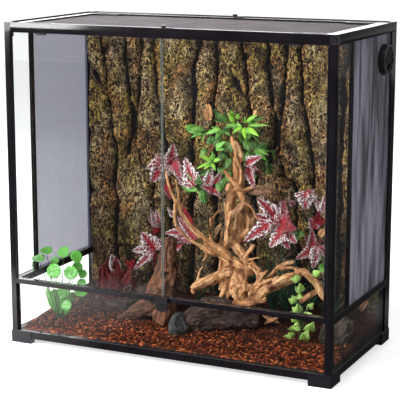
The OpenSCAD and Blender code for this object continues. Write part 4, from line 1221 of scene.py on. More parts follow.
@dataclass
class Timber:
    """Wood made of limbs that run into each other, with grain along each."""

    name: str
    base: tuple[float, float, float]
    limbs: Sequence[Limb]
    finish: Finish
    slot: str
    node: str | None
    voxel: float = 2.6 * MM
    rough: float = 1.9 * MM
    grain_along: float = 5.0
    seed: int = 3
    ring: int = 14

    def tubes(self) -> tuple[bpy.types.Mesh, list[tuple[Vector, Vector, Vector, float, float]]]:
        """A tube for each limb, and their middle lines' samples: place, direction, side, radius, distance."""
        points: list[Vector] = []
        faces: list[tuple[int, ...]] = []
        samples: list[tuple[Vector, Vector, Vector, float, float]] = []
        draw = random.Random(self.seed)
        origin = Vector(self.base)
        for limb in self.limbs:
            path = smooth_path([[c * MM for c in p] for p in limb.points], 6 * MM)
            phase = draw.uniform(0, 6.283)
            travelled = draw.uniform(0, 3.0)
            side = Vector((0.0, 0.0, 1.0))
            first = len(points)
            for k, (x, y, z, r) in enumerate(path):
                here = Vector((x, y, z)) + origin
                ahead = Vector(path[min(k + 1, len(path) - 1)][:3]) - Vector(path[max(k - 1, 0)][:3])
                way = ahead.normalized()
                side = (side - way * side.dot(way))
                side = side.normalized() if side.length > 1e-6 else way.orthogonal().normalized()
                other = way.cross(side)
                travelled += ahead.length / 2
                cap = 0.45 if k in (0, len(path) - 1) else 1.0
                samples.append((here, way, side, r, travelled))
                for j in range(self.ring):
                    turn = 2 * math.pi * j / self.ring
                    ripple = 1 + limb.fluting * math.sin(limb.flutes * turn + phase + travelled * 22)
                    ripple += 0.1 * noise.noise(here * 40 + Vector((j * 0.7, 0, 0)))
                    points.append(here + (side * math.cos(turn) + other * math.sin(turn)) * r * cap * ripple)
            n = self.ring
            for k in range(len(path) - 1):
                for j in range(n):
                    a, b = first + k * n + j, first + k * n + (j + 1) % n
                    faces.append((a, b, b + n, a + n))
            faces.append(tuple(first + j for j in reversed(range(n))))
            faces.append(tuple(first + (len(path) - 1) * n + j for j in range(n)))
        return Piece.from_data(self.name, points, faces), samples

    def fuse(self, mesh: bpy.types.Mesh) -> bpy.types.Object:
        """Runs the limbs into one skin."""
        obj = Piece.from_mesh(self.name, mesh)
        turn_outward(obj)
        modifier = obj.modifiers.new("fuse", "REMESH")
        modifier.mode = "VOXEL"
        modifier.voxel_size = self.voxel
        soft = obj.modifiers.new("soften", "SMOOTH")
        soft.factor, soft.iterations = 0.5, 3
        made = bpy.data.meshes.new_from_object(obj.evaluated_get(bpy.context.evaluated_depsgraph_get()))
        bpy.data.objects.remove(obj)
        return Piece.from_mesh(self.name, made)

    def carve(self, obj: bpy.types.Object,
              samples: list[tuple[Vector, Vector, Vector, float, float]]) -> None:
        """Raises the grain and stores its map on the skin."""
        tree = KDTree(len(samples))
        for k, sample in enumerate(samples):
            tree.insert(sample[0], k)
        tree.balance()
        mesh = obj.data
        normals = [v.normal.copy() for v in mesh.vertices]
        grain: list[Point] = []
        hollow: list[float] = []
        for v, normal in zip(mesh.vertices, normals):
            found = tree.find_n(v.co, 3)
            _, k, _ = min(found, key=lambda f: f[2] / samples[f[1]][3])
            here, way, side, radius, travelled = samples[k]
            off = v.co - here
            other = way.cross(side)
            turn = Vector((off.dot(side), off.dot(other), 0.0))
            turn = turn.normalized() if turn.length > 1e-9 else Vector((1.0, 0.0, 0.0))
            reach = (travelled + off.dot(way)) / self.grain_along
            where = Vector((turn.x * radius * 1.6, turn.y * radius * 1.6, reach))
            line = noise.noise(where * 110) + 0.6 * noise.noise(where * 260)
            pits = max(0.0, noise.noise(v.co * 31 + Vector((7.0, 0.0, 0.0))) - 0.32) * 3.0
            share = min(1.0, radius / (12 * MM))
            v.co += normal * (self.rough * line * share - 4.5 * self.rough * min(pits, 1.0) * share)
            grain.append(tuple(where))
            hollow.append(max(0.0, min(1.0, 0.5 - 0.55 * line + pits)))
        Piece.vectors(mesh, "grain", grain)
        Piece.floats(mesh, "hollow", hollow)
        mesh.update()

    def build(self) -> None:
        """Builds the wood."""
        mesh, samples = self.tubes()
        obj = self.fuse(mesh)
        self.carve(obj, samples)
        nodes = (self.node,) if self.node else ()
        Piece.dress(obj, self.finish, "enclosure", self.slot, *nodes)


def driftwood_limbs() -> list[Limb]:
    """The root's limbs, in millimetres: trunk and legs, left arms, body and burl, right arms, feet."""
    lines = (
        ((50, 80, 550, 6), (65, 80, 525, 10), (75, 75, 500, 13), (75, 70, 470, 13), (80, 70, 440, 14),
         (70, 70, 410, 14), (55, 65, 380, 14), (55, 60, 350, 12), (55, 60, 315, 10)),
        ((60, 50, 340, 8), (60, 35, 310, 7), (65, 25, 285, 7), (60, 25, 260, 6), (45, 25, 240, 6)),
        ((80, 70, 420, 10), (90, 65, 395, 10), (95, 60, 375, 8), (80, 55, 355, 8), (60, 50, 335, 8),
         (60, 50, 315, 8), (65, 50, 285, 9)),
        ((45, 45, 465, 4), (60, 50, 445, 6), (80, 50, 425, 6), (95, 55, 410, 5), (110, 65, 415, 4),
         (125, 70, 420, 3)),
        ((50, 60, 390, 6), (55, 55, 415, 8), (65, 55, 425, 6)),
        ((95, 75, 380, 6), (105, 80, 360, 8), (110, 80, 330, 12), (105, 80, 295, 13), (85, 75, 275, 14),
         (70, 65, 260, 13)),
        ((80, 80, 345, 6), (75, 80, 315, 8), (85, 80, 285, 10), (100, 70, 265, 10)),
        ((60, 50, 275, 10), (85, 45, 255, 12), (105, 40, 235, 12), (120, 35, 210, 14), (120, 30, 185, 17)),
        ((105, 40, 230, 8), (130, 30, 255, 6), (145, 20, 275, 6)),
        ((120, 40, 225, 4), (140, 30, 235, 3), (160, 30, 240, 2)),
        ((95, 60, 380, 3), (130, 45, 365, 3), (145, 35, 345, 3), (165, 25, 335, 2)),
        ((-85, -35, 465, 3), (-80, -35, 435, 4), (-70, -30, 405, 4), (-60, -25, 380, 6), (-40, -20, 340, 6),
         (-20, -10, 310, 7), (0, -5, 290, 8), (15, 0, 275, 10), (35, 10, 255, 13), (55, 20, 240, 14),
         (85, 25, 220, 14), (105, 30, 200, 15)),
        ((-70, -10, 440, 4), (-60, -15, 410, 4), (-55, -20, 380, 4), (-45, -20, 355, 5)),
        ((-60, -35, 380, 4), (-60, -35, 335, 4), (-55, -30, 310, 4), (-40, -30, 300, 4), (-25, -20, 280, 4),
         (0, -10, 265, 5), (20, 0, 250, 8), (40, 10, 240, 10)),
        ((20, 15, 340, 2), (25, 10, 315, 4), (25, 10, 280, 4), (30, 10, 260, 6)),
        ((40, 35, 360, 2), (30, 30, 345, 3), (25, 20, 330, 4), (25, 15, 310, 4)),
        ((20, 0, 310, 2), (25, 5, 290, 3), (35, 5, 260, 5)),
        ((15, 0, 250, 5), (15, 0, 235, 4), (5, 0, 220, 3)),
        ((40, 20, 255, 5), (45, 30, 280, 3), (40, 40, 300, 3), (40, 45, 320, 2)),
        ((75, 30, 225, 8), (55, 40, 250, 5), (45, 45, 270, 4)),
        ((-15, -30, 150, 8), (5, -25, 160, 13), (25, -15, 170, 15), (50, -5, 185, 15), (70, 5, 200, 14),
         (90, 15, 205, 14)),
        ((-10, -30, 150, 9), (-5, -30, 135, 6)),
        ((5, 5, 205, 3), (0, -10, 190, 3), (0, -20, 165, 5)),
        ((75, 25, 220, 9), (80, 20, 200, 10), (75, 10, 175, 10), (70, 10, 150, 10), (65, 5, 115, 9),
         (75, 15, 80, 9)),
        ((75, 0, 155, 8), (65, -10, 135, 6), (65, -15, 120, 5)),
        ((115, 30, 220, 12), (115, 25, 190, 13), (110, 20, 165, 14), (115, 10, 140, 15), (125, 0, 105, 15)),
        ((130, 30, 220, 12), (150, 30, 205, 10), (165, 20, 185, 11), (160, 10, 160, 14), (150, 5, 135, 15),
         (145, 0, 95, 15)),
        ((120, 30, 210, 12), (125, 25, 190, 9)),
        ((125, 15, 155, 12), (145, 10, 160, 11)),
        ((165, 20, 190, 8), (180, 15, 205, 4), (190, 15, 215, 2)),
        ((155, 25, 200, 6), (165, 20, 215, 3)),
        ((165, 20, 160, 8), (175, 30, 180, 7), (190, 35, 195, 6), (205, 40, 215, 6), (225, 50, 225, 6),
         (250, 50, 235, 5)),
        ((210, 40, 210, 4), (240, 35, 220, 4), (275, 25, 220, 5)),
        ((160, 0, 140, 13), (190, 5, 160, 13), (215, 10, 180, 15), (245, 10, 195, 14), (265, 15, 205, 13),
         (280, 20, 220, 11)),
        ((275, 20, 215, 10), (290, 20, 215, 10), (310, 20, 200, 10), (330, 20, 180, 9), (340, 20, 160, 8),
         (350, 20, 150, 6)),
        ((265, 50, 125, 6), (290, 45, 145, 8), (320, 40, 165, 7)),
        ((105, -25, 125, 6), (140, -30, 125, 8), (165, -30, 130, 8), (190, -25, 140, 9), (200, -20, 145, 8)),
        ((120, 0, 95, 10), (125, 15, 70, 10), (130, 30, 45, 9)),
        ((150, 0, 95, 10), (155, 15, 75, 9), (160, 30, 50, 6)),
        ((175, 5, 105, 8), (190, 10, 85, 6), (220, 20, 70, 4)),
        ((180, 10, 65, 4), (205, 5, 80, 5), (225, 0, 90, 3)),
        ((100, -5, 105, 10), (105, 10, 70, 9), (110, 30, 40, 8)),
        ((90, 25, 225, 15), (100, 20, 200, 19), (105, 15, 175, 22), (110, 10, 145, 23), (125, 10, 115, 18)),
        ((140, 10, 165, 18), (160, 5, 145, 18), (185, 0, 145, 13)),
        ((75, 100, 365, 9), (75, 100, 335, 17), (75, 100, 305, 21), (70, 90, 275, 20), (65, 80, 250, 17)),
        ((105, -10, 150, 10), (115, -15, 160, 9)),
        ((130, -15, 170, 10), (140, -15, 170, 10)),
        ((155, -15, 160, 10), (155, -15, 145, 10)),
        ((135, -15, 150, 13), (120, -15, 145, 11)),
        ((140, -20, 160, 8), (130, -20, 160, 6)),
        ((55, 30, 220, 5), (70, 15, 200, 6), (70, 10, 170, 6), (80, 0, 140, 6), (75, 0, 115, 5)),
        ((85, 20, 210, 5), (90, 10, 190, 5), (85, 5, 160, 6), (90, 0, 135, 5)),
        ((50, 25, 225, 5), (50, 15, 200, 5), (60, 5, 170, 5), (55, 0, 145, 5)),
        ((175, -5, 155, 6), (210, -5, 180, 6), (245, 0, 205, 6), (270, 0, 215, 5)),
        ((160, 0, 160, 6), (190, 0, 185, 5), (225, 5, 200, 5)),
        ((90, 0, 195, 6), (60, -10, 185, 6), (30, -20, 165, 5)),
        ((65, 70, 530, 4), (75, 60, 495, 5), (90, 60, 465, 5), (90, 60, 435, 5), (80, 55, 410, 5)),
        ((80, 70, 510, 4), (70, 60, 480, 4), (70, 60, 445, 4), (65, 55, 410, 4), (55, 50, 375, 5)),
        ((25, 0, 275, 5), (55, 10, 260, 5), (80, 15, 240, 6), (110, 20, 220, 6)),
    )
    return [Limb(line) for line in lines]


@dataclass
class Wood:
    """Driftwood root, dark logs and the cork slab."""

    def build(self) -> None:
        """Builds each piece of wood."""
        centre = (0.0, 0.0, 0.0)
        Timber("driftwood_root", centre, driftwood_limbs(), Finish.DRIFTWOOD, "driftwood", "driftwood",
               voxel=2.2 * MM, grain_along=4.0).build()
        Timber("dark_stump", centre, [
            Limb(((-100, 25, 270, 15), (-105, 20, 240, 20), (-105, 10, 210, 26), (-105, 0, 170, 31),
                  (-115, -10, 130, 38), (-120, -20, 95, 44), (-130, -30, 60, 48)), 6, 0.16),
            Limb(((-95, -35, 130, 26), (-130, -50, 98, 26), (-165, -60, 75, 19), (-200, -65, 58, 11),
                  (-220, -65, 48, 5)), 5, 0.14),
            Limb(((-80, -45, 125, 22), (-80, -55, 80, 27), (-88, -65, 48, 24)), 4, 0.14),
        ], Finish.STUMP, "dark_wood", "logs", rough=2.6 * MM, grain_along=3.0).build()
        Timber("back_log", centre, [
            Limb(((-345, 50, 62, 20), (-300, 50, 72, 27), (-245, 45, 84, 28), (-190, 35, 98, 24),
                  (-150, 25, 100, 18)), 4, 0.14),
            Limb(((-300, 20, 60, 12), (-265, 10, 66, 16), (-225, 5, 62, 14)), 4, 0.14),
        ], Finish.LOG, "dark_wood", None, rough=2.2 * MM, grain_along=3.0, seed=5).build()
        Timber("dark_log", centre, [
            Limb(((-5, -75, 62, 28), (25, -55, 80, 40), (65, -30, 85, 44), (115, -5, 78, 42),
                  (165, 15, 70, 34)), 5, 0.14),
            Limb(((15, -40, 112, 13), (55, -30, 122, 14), (95, -20, 114, 12)), 3, 0.14),
        ], Finish.LOG, "dark_wood", None, rough=2.6 * MM, grain_along=2.5, seed=8).build()
        Timber("weathered_log_end", centre, [
            Limb(((-15, -92, 100, 10), (-22, -102, 72, 23), (-14, -110, 48, 26), (-5, -116, 34, 12)), 3,
                 0.22),
        ], Finish.STONE, "dark_wood", None, rough=1.8 * MM, grain_along=1.5, seed=9).build()
        Timber("cork_slab", centre, [
            Limb(((385, -50, 44, 30), (395, -15, 78, 36), (402, 25, 100, 30)), 3, 0.2),
        ], Finish.CORK, "dark_wood", None, rough=3.0 * MM, grain_along=2.0, seed=21).build()


# ---- plants --------------------------------------------------------------------------------------


class LeafKind(Enum):
    """Outlines of a leaf: half width at a share of its length, from 0 to 1."""

    POINTED = "pointed"
    ANGULAR = "angular"
    ROUND = "round"
    OVAL = "oval"
    BLADE = "blade"

    def half_width(self, t: float) -> float:
        """Half width at t, as a share of the widest."""
        if self is LeafKind.POINTED:
            return math.sin(math.pi * t**0.8) ** 0.9 * (1 - 0.25 * t)
        if self is LeafKind.ANGULAR:
            tooth = 0.42 * abs(math.sin(math.pi * t * 7.5)) ** 1.5
            begun = 1.0 if t > 0.0 else 0.0
            return (min(1.0, t * 4.0) * (1 - t) ** 0.7 * 1.1 + tooth * (1 - t) ** 0.6) * begun
        if self is LeafKind.OVAL:
            return math.sin(math.pi * t**0.9) ** 0.6
        if self is LeafKind.BLADE:
            return (1 - t) ** 0.5 * min(1.0, 6 * t + 0.4)
        return math.sqrt(max(0.0, 1 - (2 * t - 1) ** 2))


@dataclass(frozen=True)
class Leaf:
    """A leaf along +X from its stalk: a folded, drooping blade of a few faces, with a thin body."""

    kind: LeafKind
    length: float
    width: float
    fold: float = 0.25
    droop: float = 0.3
    rows: int = 8
    half_columns: int = 2
    thick: float = 0.5 * MM
    wavy: float = 0.0

    def build(self, name: str) -> bpy.types.Object:
        """Builds the leaf as a closed mesh."""
        columns = 2 * self.half_columns
        points: list[Point] = []
        where: list[Point] = []
        for r in range(self.rows + 1):
            t = min(max(r / self.rows, 0.004), 0.996)
            half = self.kind.half_width(t) * self.width / 2
            drop = -self.droop * self.length * t * t * 0.6
            for c in range(columns + 1):
                s = c / self.half_columns - 1
                lift = self.fold * half * abs(s) + self.wavy * self.length * math.sin(t * 15) * abs(s) * 0.5
                points.append((t * self.length, s * half, drop + lift))
                where.append((t, s, 0.0))
        wide = columns + 1
        faces = [(r * wide + c, (r + 1) * wide + c, (r + 1) * wide + c + 1, r * wide + c + 1)
                 for r in range(self.rows) for c in range(columns)]
        return self.solid(name, points, faces, where)

    def solid(self, name: str, points: list[Point], faces: list[tuple[int, ...]],
              where: list[Point]) -> bpy.types.Object:
        """Gives a sheet of points a thin body."""
        mesh = Piece.from_data(name, points, faces)
        Piece.vectors(mesh, "leaf_at", where)
        obj = Piece.from_mesh(name, mesh)
        modifier = obj.modifiers.new("body", "SOLIDIFY")
        modifier.thickness = self.thick
        modifier.offset = 0.0
        made = bpy.data.meshes.new_from_object(obj.evaluated_get(bpy.context.evaluated_depsgraph_get()))
        obj.modifiers.clear()
        obj.data = made
        return obj


@dataclass(frozen=True)
class DiscLeaf(Leaf):
    """A round leaf on a central stalk, scalloped, with ribs from its middle."""

    spokes: int = 20

    def build(self, name: str) -> bpy.types.Object:
        """Builds the leaf as a closed mesh round its own middle."""
        points: list[Point] = [(0.0, 0.0, 0.0)]
        where: list[Point] = [(0.0, 0.0, 0.0)]
        radius = self.length / 2
        for ring in (0.35, 0.7, 1.0):
            for k in range(self.spokes):
                turn = 2 * math.pi * k / self.spokes
                rim = 1 + (0.05 if k % 2 else -0.04) * ring
                pleat = 0.03 if k % 2 else -0.03
                lift = self.fold * radius * ring**2 * (0.5 + 0.35
                                                       * math.sin(2 * turn)) + pleat * radius * ring
                points.append((radius * ring * rim * math.cos(turn), radius * ring * rim * math.sin(turn),
                               lift))
                where.append((ring, 1.0 if k % 2 else 0.0, 0.0))
        n = self.spokes
        faces: list[tuple[int, ...]] = [(0, 1 + k, 1 + (k + 1) % n) for k in range(n)]
        for ring in range(2):
            a = 1 + ring * n
            faces += [(a + k, a + n + k, a + n + (k + 1) % n, a + (k + 1) % n) for k in range(n)]
        return self.solid(name, points, faces, where)


@dataclass
class Plant:
    """Leaves of one kind on thin stems."""

    name: str
    leaf: Leaf
    leaf_finish: Finish
    stem_finish: Finish
    slot: str
    node: str | None
    seed: int
    spots: Spots = field(default_factory=Spots)
    stems: Rods = field(default_factory=Rods)

    def __post_init__(self) -> None:
        """Starts the plant's own row of random draws."""
        self.draw = random.Random(self.seed)

    def stem(self, a: Vector, b: Vector, radius: float, sag: Vector = Vector((0.0, 0.0, 0.0))) -> None:
        """Adds a stem from a to b, bowed by sag."""
        path = [a.lerp(b, t) + sag * (4 * t * (1 - t)) for t in (0.0, 0.25, 0.5, 0.75, 1.0)]
        self.stems.add(path, [radius, radius * 0.95, radius * 0.85, radius * 0.75, radius * 0.6])

    def leaf_towards(self, at: Vector, way: Vector, roll: float, size: float,
                     tone: float | None = None) -> None:
        """Adds a leaf at a place, pointing along way and rolled about it."""
        way = way.normalized()
        turn = way.to_track_quat("X", "Z").to_euler()
        spin = (turn.to_matrix() @ Matrix.Rotation(roll, 3, "X")).to_euler()
        self.spots.add(at, spin, size, self.draw.random() if tone is None else tone)

    def blade(self, row: Sequence[float], facing: Vector, sway: float = 0.35) -> None:
        """Adds one leaf from its stalk's end to its tip.

        Args:
            row: Stalk's end x, y, z, tip x, y, z and width, in millimetres, and tone from 0 to 1.
            facing: Where its upper face looks, as nearly as the leaf's own line lets it.
            sway: Greatest random roll, in radians.
        """
        root, tip = Vector(row[0:3]) * MM, Vector(row[3:6]) * MM
        way = (tip - root).normalized()
        face = (facing - way * facing.dot(way)).normalized()
        roll = Matrix.Rotation(self.draw.uniform(-sway, sway), 3, "X")
        turn = Matrix((way, face.cross(way), face)).transposed() @ roll
        wide = row[6] * MM / self.leaf.width
        self.spots.add(root, turn.to_euler(), Vector(((tip - root).length / self.leaf.length, wide, wide)),
                       row[7])

    def blades(self, rows: Sequence[Sequence[float]], facing: Vector, foot: Callable[[Vector], Vector],
               radius: float, more: int = 1) -> None:
        """Adds leaves, smaller ones behind each, and a stem to its foot from each place where they spring."""
        for row in rows:
            self.blade(row, facing)
            root, way = Vector(row[0:3]), Vector(row[3:6]) - Vector(row[0:3])
            for _ in range(more):
                swing = self.draw.choice((-1, 1)) * self.draw.uniform(0.35, 1.0)
                turned = Matrix.Rotation(swing, 3, facing) @ way
                tip = root + turned * self.draw.uniform(0.55, 0.85) + Vector((0.0, 8.0, 0.0))
                tone = max(0.0, min(1.0, row[7] * self.draw.uniform(0.35, 1.0)))
                self.blade((*root, *tip, row[6] * self.draw.uniform(0.6, 0.9), tone), facing, 0.7)
        for at in sorted({tuple(row[0:3]) for row in rows}):
            top = Vector(at) * MM
            self.stem(foot(top), top, radius, Vector((0.0, 0.0, -6.0 * MM)))

    def build(self) -> None:
        """Builds the leaves and the stems."""
        shape = self.leaf.build(self.name + "_shape")
        leaves = self.spots.build(self.name + "_leaves", shape, self.leaf_finish)
        bpy.data.objects.remove(shape)
        nodes = (self.node,) if self.node else ()
        Piece.dress(leaves, self.leaf_finish, "enclosure", self.slot, *nodes)
        if self.stems.paths:
            stems = self.stems.build(self.name + "_stems", 6, self.stem_finish)
            Piece.dress(stems, self.stem_finish, "enclosure", self.slot)


@dataclass
class Planting:
    """Every plant in the terrarium."""

    ground: Ground
    relief: float = 12 * MM
    stem_foot: Point = (12 * MM, 8 * MM, -40 * MM)

    def wall_y(self) -> float:
        """Front of the bark relief's middle height."""
        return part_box("background_panel")[0][1] + self.relief

    def to_wall(self, top: Vector) -> Vector:
        """Foot of a stem that comes out of the bark a little below its top."""
        x, y, z = self.stem_foot
        return Vector((top.x + x, self.wall_y() + y, top.z + z))

    def round_leaved(self) -> Plant:
        """Bright plant with round leaves on bowed stalks, by the left wall."""
        plant = Plant("round_plant", DiscLeaf(LeafKind.ROUND, 36 * MM, 36 * MM, fold=0.3), Finish.ROUND_LEAF,
                      Finish.GREEN_STEM, "leaf_green", "round_leaf_plant", 5)
        base = Vector((-0.365, -0.125, self.ground.top(-0.125) - 4 * MM))
        # The tone column holds painted light and shade with the leaf's own colour: lit leaves high, shaded
        # ones low.
        leaves = (  # middle x, y, z and width in millimetres, lean of its face to the right and up, tone
            (-390, -150, 240, 33, 0.4, 2.4, 0.45), (-350, -125, 235, 33, 0.1, 0.7, 0.7),
            (-315, -120, 225, 34, 1.2, 0.9, 0.75), (-405, -165, 220, 36, 0.2, 2.6, 0.95),
            (-415, -175, 200, 29, -1.6, 0.1, 0.75), (-385, -115, 205, 24, 0.3, 1.0, 0.1),
            (-360, -160, 190, 40, 0.2, 0.2, 1.0), (-320, -140, 185, 38, 0.4, 0.3, 1.0),
            (-315, -115, 195, 29, 0.8, 0.5, 0.35), (-305, -105, 175, 24, 0.9, 0.4, 0.6),
            (-305, -110, 150, 26, 0.4, 0.9, 0.85), (-305, -115, 125, 34, 0.4, 1.8, 0.55),
            (-330, -150, 95, 27, 0.5, 0.6, 0.9), (-350, -130, 125, 34, 0.2, 0.7, 0.65),
            (-385, -120, 110, 32, 0.3, 0.5, 0.4), (-335, -115, 110, 26, 0.6, 0.8, 0.4),
            (-370, -120, 90, 29, 0.1, 0.3, 0.3), (-345, -130, 110, 24, 0.5, 0.9, 0.5),
        )
        for x, y, z, width, right, up, tone in leaves:
            tip = Vector((x, y, z)) * MM
            out = tip - base
            bow = Vector((out.x * -0.1, 0.0, -0.05 * out.length))
            plant.stem(base + Vector((out.x * 0.1, out.y * 0.1, 0.0)), tip, 1.3 * MM, bow)
            face = Vector((right, -0.9, up)).normalized()
            plant.spots.add(tip, face.to_track_quat("Z", "Y").to_euler(), width / 36, tone)
        return plant

    def strands(self) -> Plant:
        """Long soft leaves at the foot of the round-leaved plant."""
        plant = Plant("round_plant_foot", Leaf(LeafKind.POINTED, 60 * MM, 15 * MM, 0.3, 0.2, 8, 1),
                      Finish.ROUND_LEAF, Finish.GREEN_STEM, "leaf_green", None, 7)
        # The last column, tone, holds painted light and shade with the leaf's own colour: lit leaves high,
        # shaded ones low.
        for row in (
            (-395, -120, 70, -410, -125, 135, 13, 0.7), (-390, -120, 65, -400, -130, 135, 13, 0.6),
            (-375, -125, 60, -380, -135, 120, 21, 0.3), (-365, -125, 60, -355, -135, 115, 21, 0.25),
            (-350, -125, 60, -330, -130, 105, 18, 0.3), (-380, -130, 65, -365, -138, 105, 18, 0.2),
        ):
            plant.blade(row, Vector((0.3, -0.9, 0.2)))
        return plant

    def pointed(self) -> Plant:
        """Green tufts of long leaves round the top of the root."""
        plant = Plant("pointed_plant", Leaf(LeafKind.POINTED, 45 * MM, 14 * MM, 0.3, 0.25, 8, 1),
                      Finish.POINTED_LEAF, Finish.GREEN_STEM, "leaf_green", "green_leaf_plant", 12)
        # The last column, tone, holds painted light and shade with the leaf's own colour: lit leaves high,
        # shaded ones low.
        rows = (
            (75, 110, 570, 90, 85, 545, 15, 1.0), (85, 110, 570, 125, 90, 555, 15, 1.0),
            (70, 110, 570, 50, 90, 560, 13, 0.95), (60, 115, 570, 30, 95, 580, 14, 0.7),
            (45, 115, 580, 35, 100, 605, 14, 0.95), (40, 120, 595, 40, 105, 615, 12, 0.9),
            (50, 120, 590, 60, 105, 605, 10, 0.9), (80, 115, 585, 115, 100, 610, 13, 0.85),
            (85, 115, 575, 150, 100, 585, 10, 0.8), (75, 118, 580, 80, 105, 600, 9, 0.8),
            (0, 130, 580, -15, 115, 615, 18, 0.1), (10, 130, 580, -10, 115, 605, 16, 0.15),
            (20, 130, 580, 5, 115, 595, 13, 0.3), (5, 115, 560, -35, 95, 550, 16, 0.75),
            (-45, 120, 555, -80, 100, 560, 16, 0.4), (-45, 120, 550, -80, 100, 535, 14, 0.45),
            (10, 120, 560, 40, 100, 550, 16, 0.15), (80, 125, 565, 125, 110, 535, 16, 0.2),
            (60, 120, 550, 70, 105, 535, 13, 0.3), (-15, 100, 475, -40, 80, 490, 13, 0.95),
            (-15, 100, 470, -55, 80, 455, 12, 0.9), (-15, 100, 470, -30, 80, 455, 12, 0.9),
            (-15, 100, 470, 5, 80, 455, 12, 0.9), (-15, 100, 475, -5, 85, 500, 12, 0.8),
            (-10, 100, 475, 15, 85, 485, 12, 0.9), (-10, 115, 505, 20, 100, 530, 16, 0.75),
            (-10, 115, 505, 20, 100, 510, 13, 0.6), (105, 110, 510, 150, 95, 490, 15, 0.5),
            (110, 115, 515, 150, 100, 505, 13, 0.35), (100, 110, 480, 115, 100, 460, 10, 0.7),
            (110, 110, 450, 110, 100, 430, 10, 0.6),
        )
        plant.blades(rows, Vector((0.35, -0.8, 0.5)), self.to_wall, 1.1 * MM, 2)
        return plant

    def broad(self) -> Plant:
        """Broad dark leaves among the root's limbs, and small ones that fill the shade between them."""
        plant = Plant("broad_plant", Leaf(LeafKind.OVAL, 40 * MM, 20 * MM, 0.3, 0.25, 8, 1),
                      Finish.POINTED_LEAF, Finish.GREEN_STEM, "leaf_green", None, 31)
        # The last column, tone, holds painted light and shade with the leaf's own colour: lit leaves high,
        # shaded ones low.
        rows = (
            (-35, 120, 430, -65, 100, 410, 24, 0.2), (0, 110, 415, 10, 95, 395, 18, 0.25),
            (-55, 120, 390, -35, 100, 355, 24, 0.25), (-95, 125, 440, -65, 110, 410, 24, 0.45),
            (-75, 130, 435, -55, 115, 415, 21, 0.2), (-110, 115, 395, -60, 100, 390, 19, 0.6),
            (-105, 125, 560, -60, 110, 545, 21, 0.35), (20, 110, 430, 20, 95, 400, 18, 0.15),
            (-20, 130, 535, -35, 115, 515, 21, 0.2), (0, 130, 535, -15, 115, 510, 21, 0.15),
            (25, 128, 525, 15, 112, 500, 21, 0.1), (40, 125, 530, 35, 110, 500, 21, 0.1),
            (-45, 130, 500, -55, 115, 480, 18, 0.2), (15, 125, 495, 0, 110, 475, 21, 0.1),
            (35, 120, 480, 20, 105, 455, 18, 0.1), (70, 130, 535, 90, 115, 505, 21, 0.1),
            (90, 130, 530, 115, 115, 505, 21, 0.15), (75, 128, 500, 100, 112, 475, 21, 0.1),
            (115, 130, 525, 135, 115, 510, 16, 0.25), (15, 120, 455, 0, 105, 430, 18, 0.2),
            (30, 115, 450, 35, 100, 420, 16, 0.15), (50, 130, 505, 75, 118, 480, 18, 0.1),
            (295, 70, 265, 325, 55, 245, 15, 0.5), (315, 60, 230, 335, 45, 215, 15, 0.6),
        )
        plant.blades(rows, Vector((0.3, -0.8, 0.55)), self.to_wall, 1.1 * MM)
        y, draw = self.wall_y(), plant.draw.uniform
        # Small leaves in the shade: their low tones are painted shade.
        shade = ((-55, 85, 430, 545, 46), (85, 150, 435, 535, 20), (-110, -50, 385, 440, 10),
                 (130, 235, 255, 330, 10))
        for left, right, low, high, count in shade:
            for _ in range(count):
                at = Vector((draw(left, right) * MM, y - draw(18, 34) * MM, draw(low, high) * MM))
                way = Vector((draw(-1, 1), -0.5, draw(-1, 0.5)))
                plant.leaf_towards(at, way, draw(-0.6, 0.6), draw(0.4, 0.75), draw(0.0, 0.3) ** 1.2)
        return plant

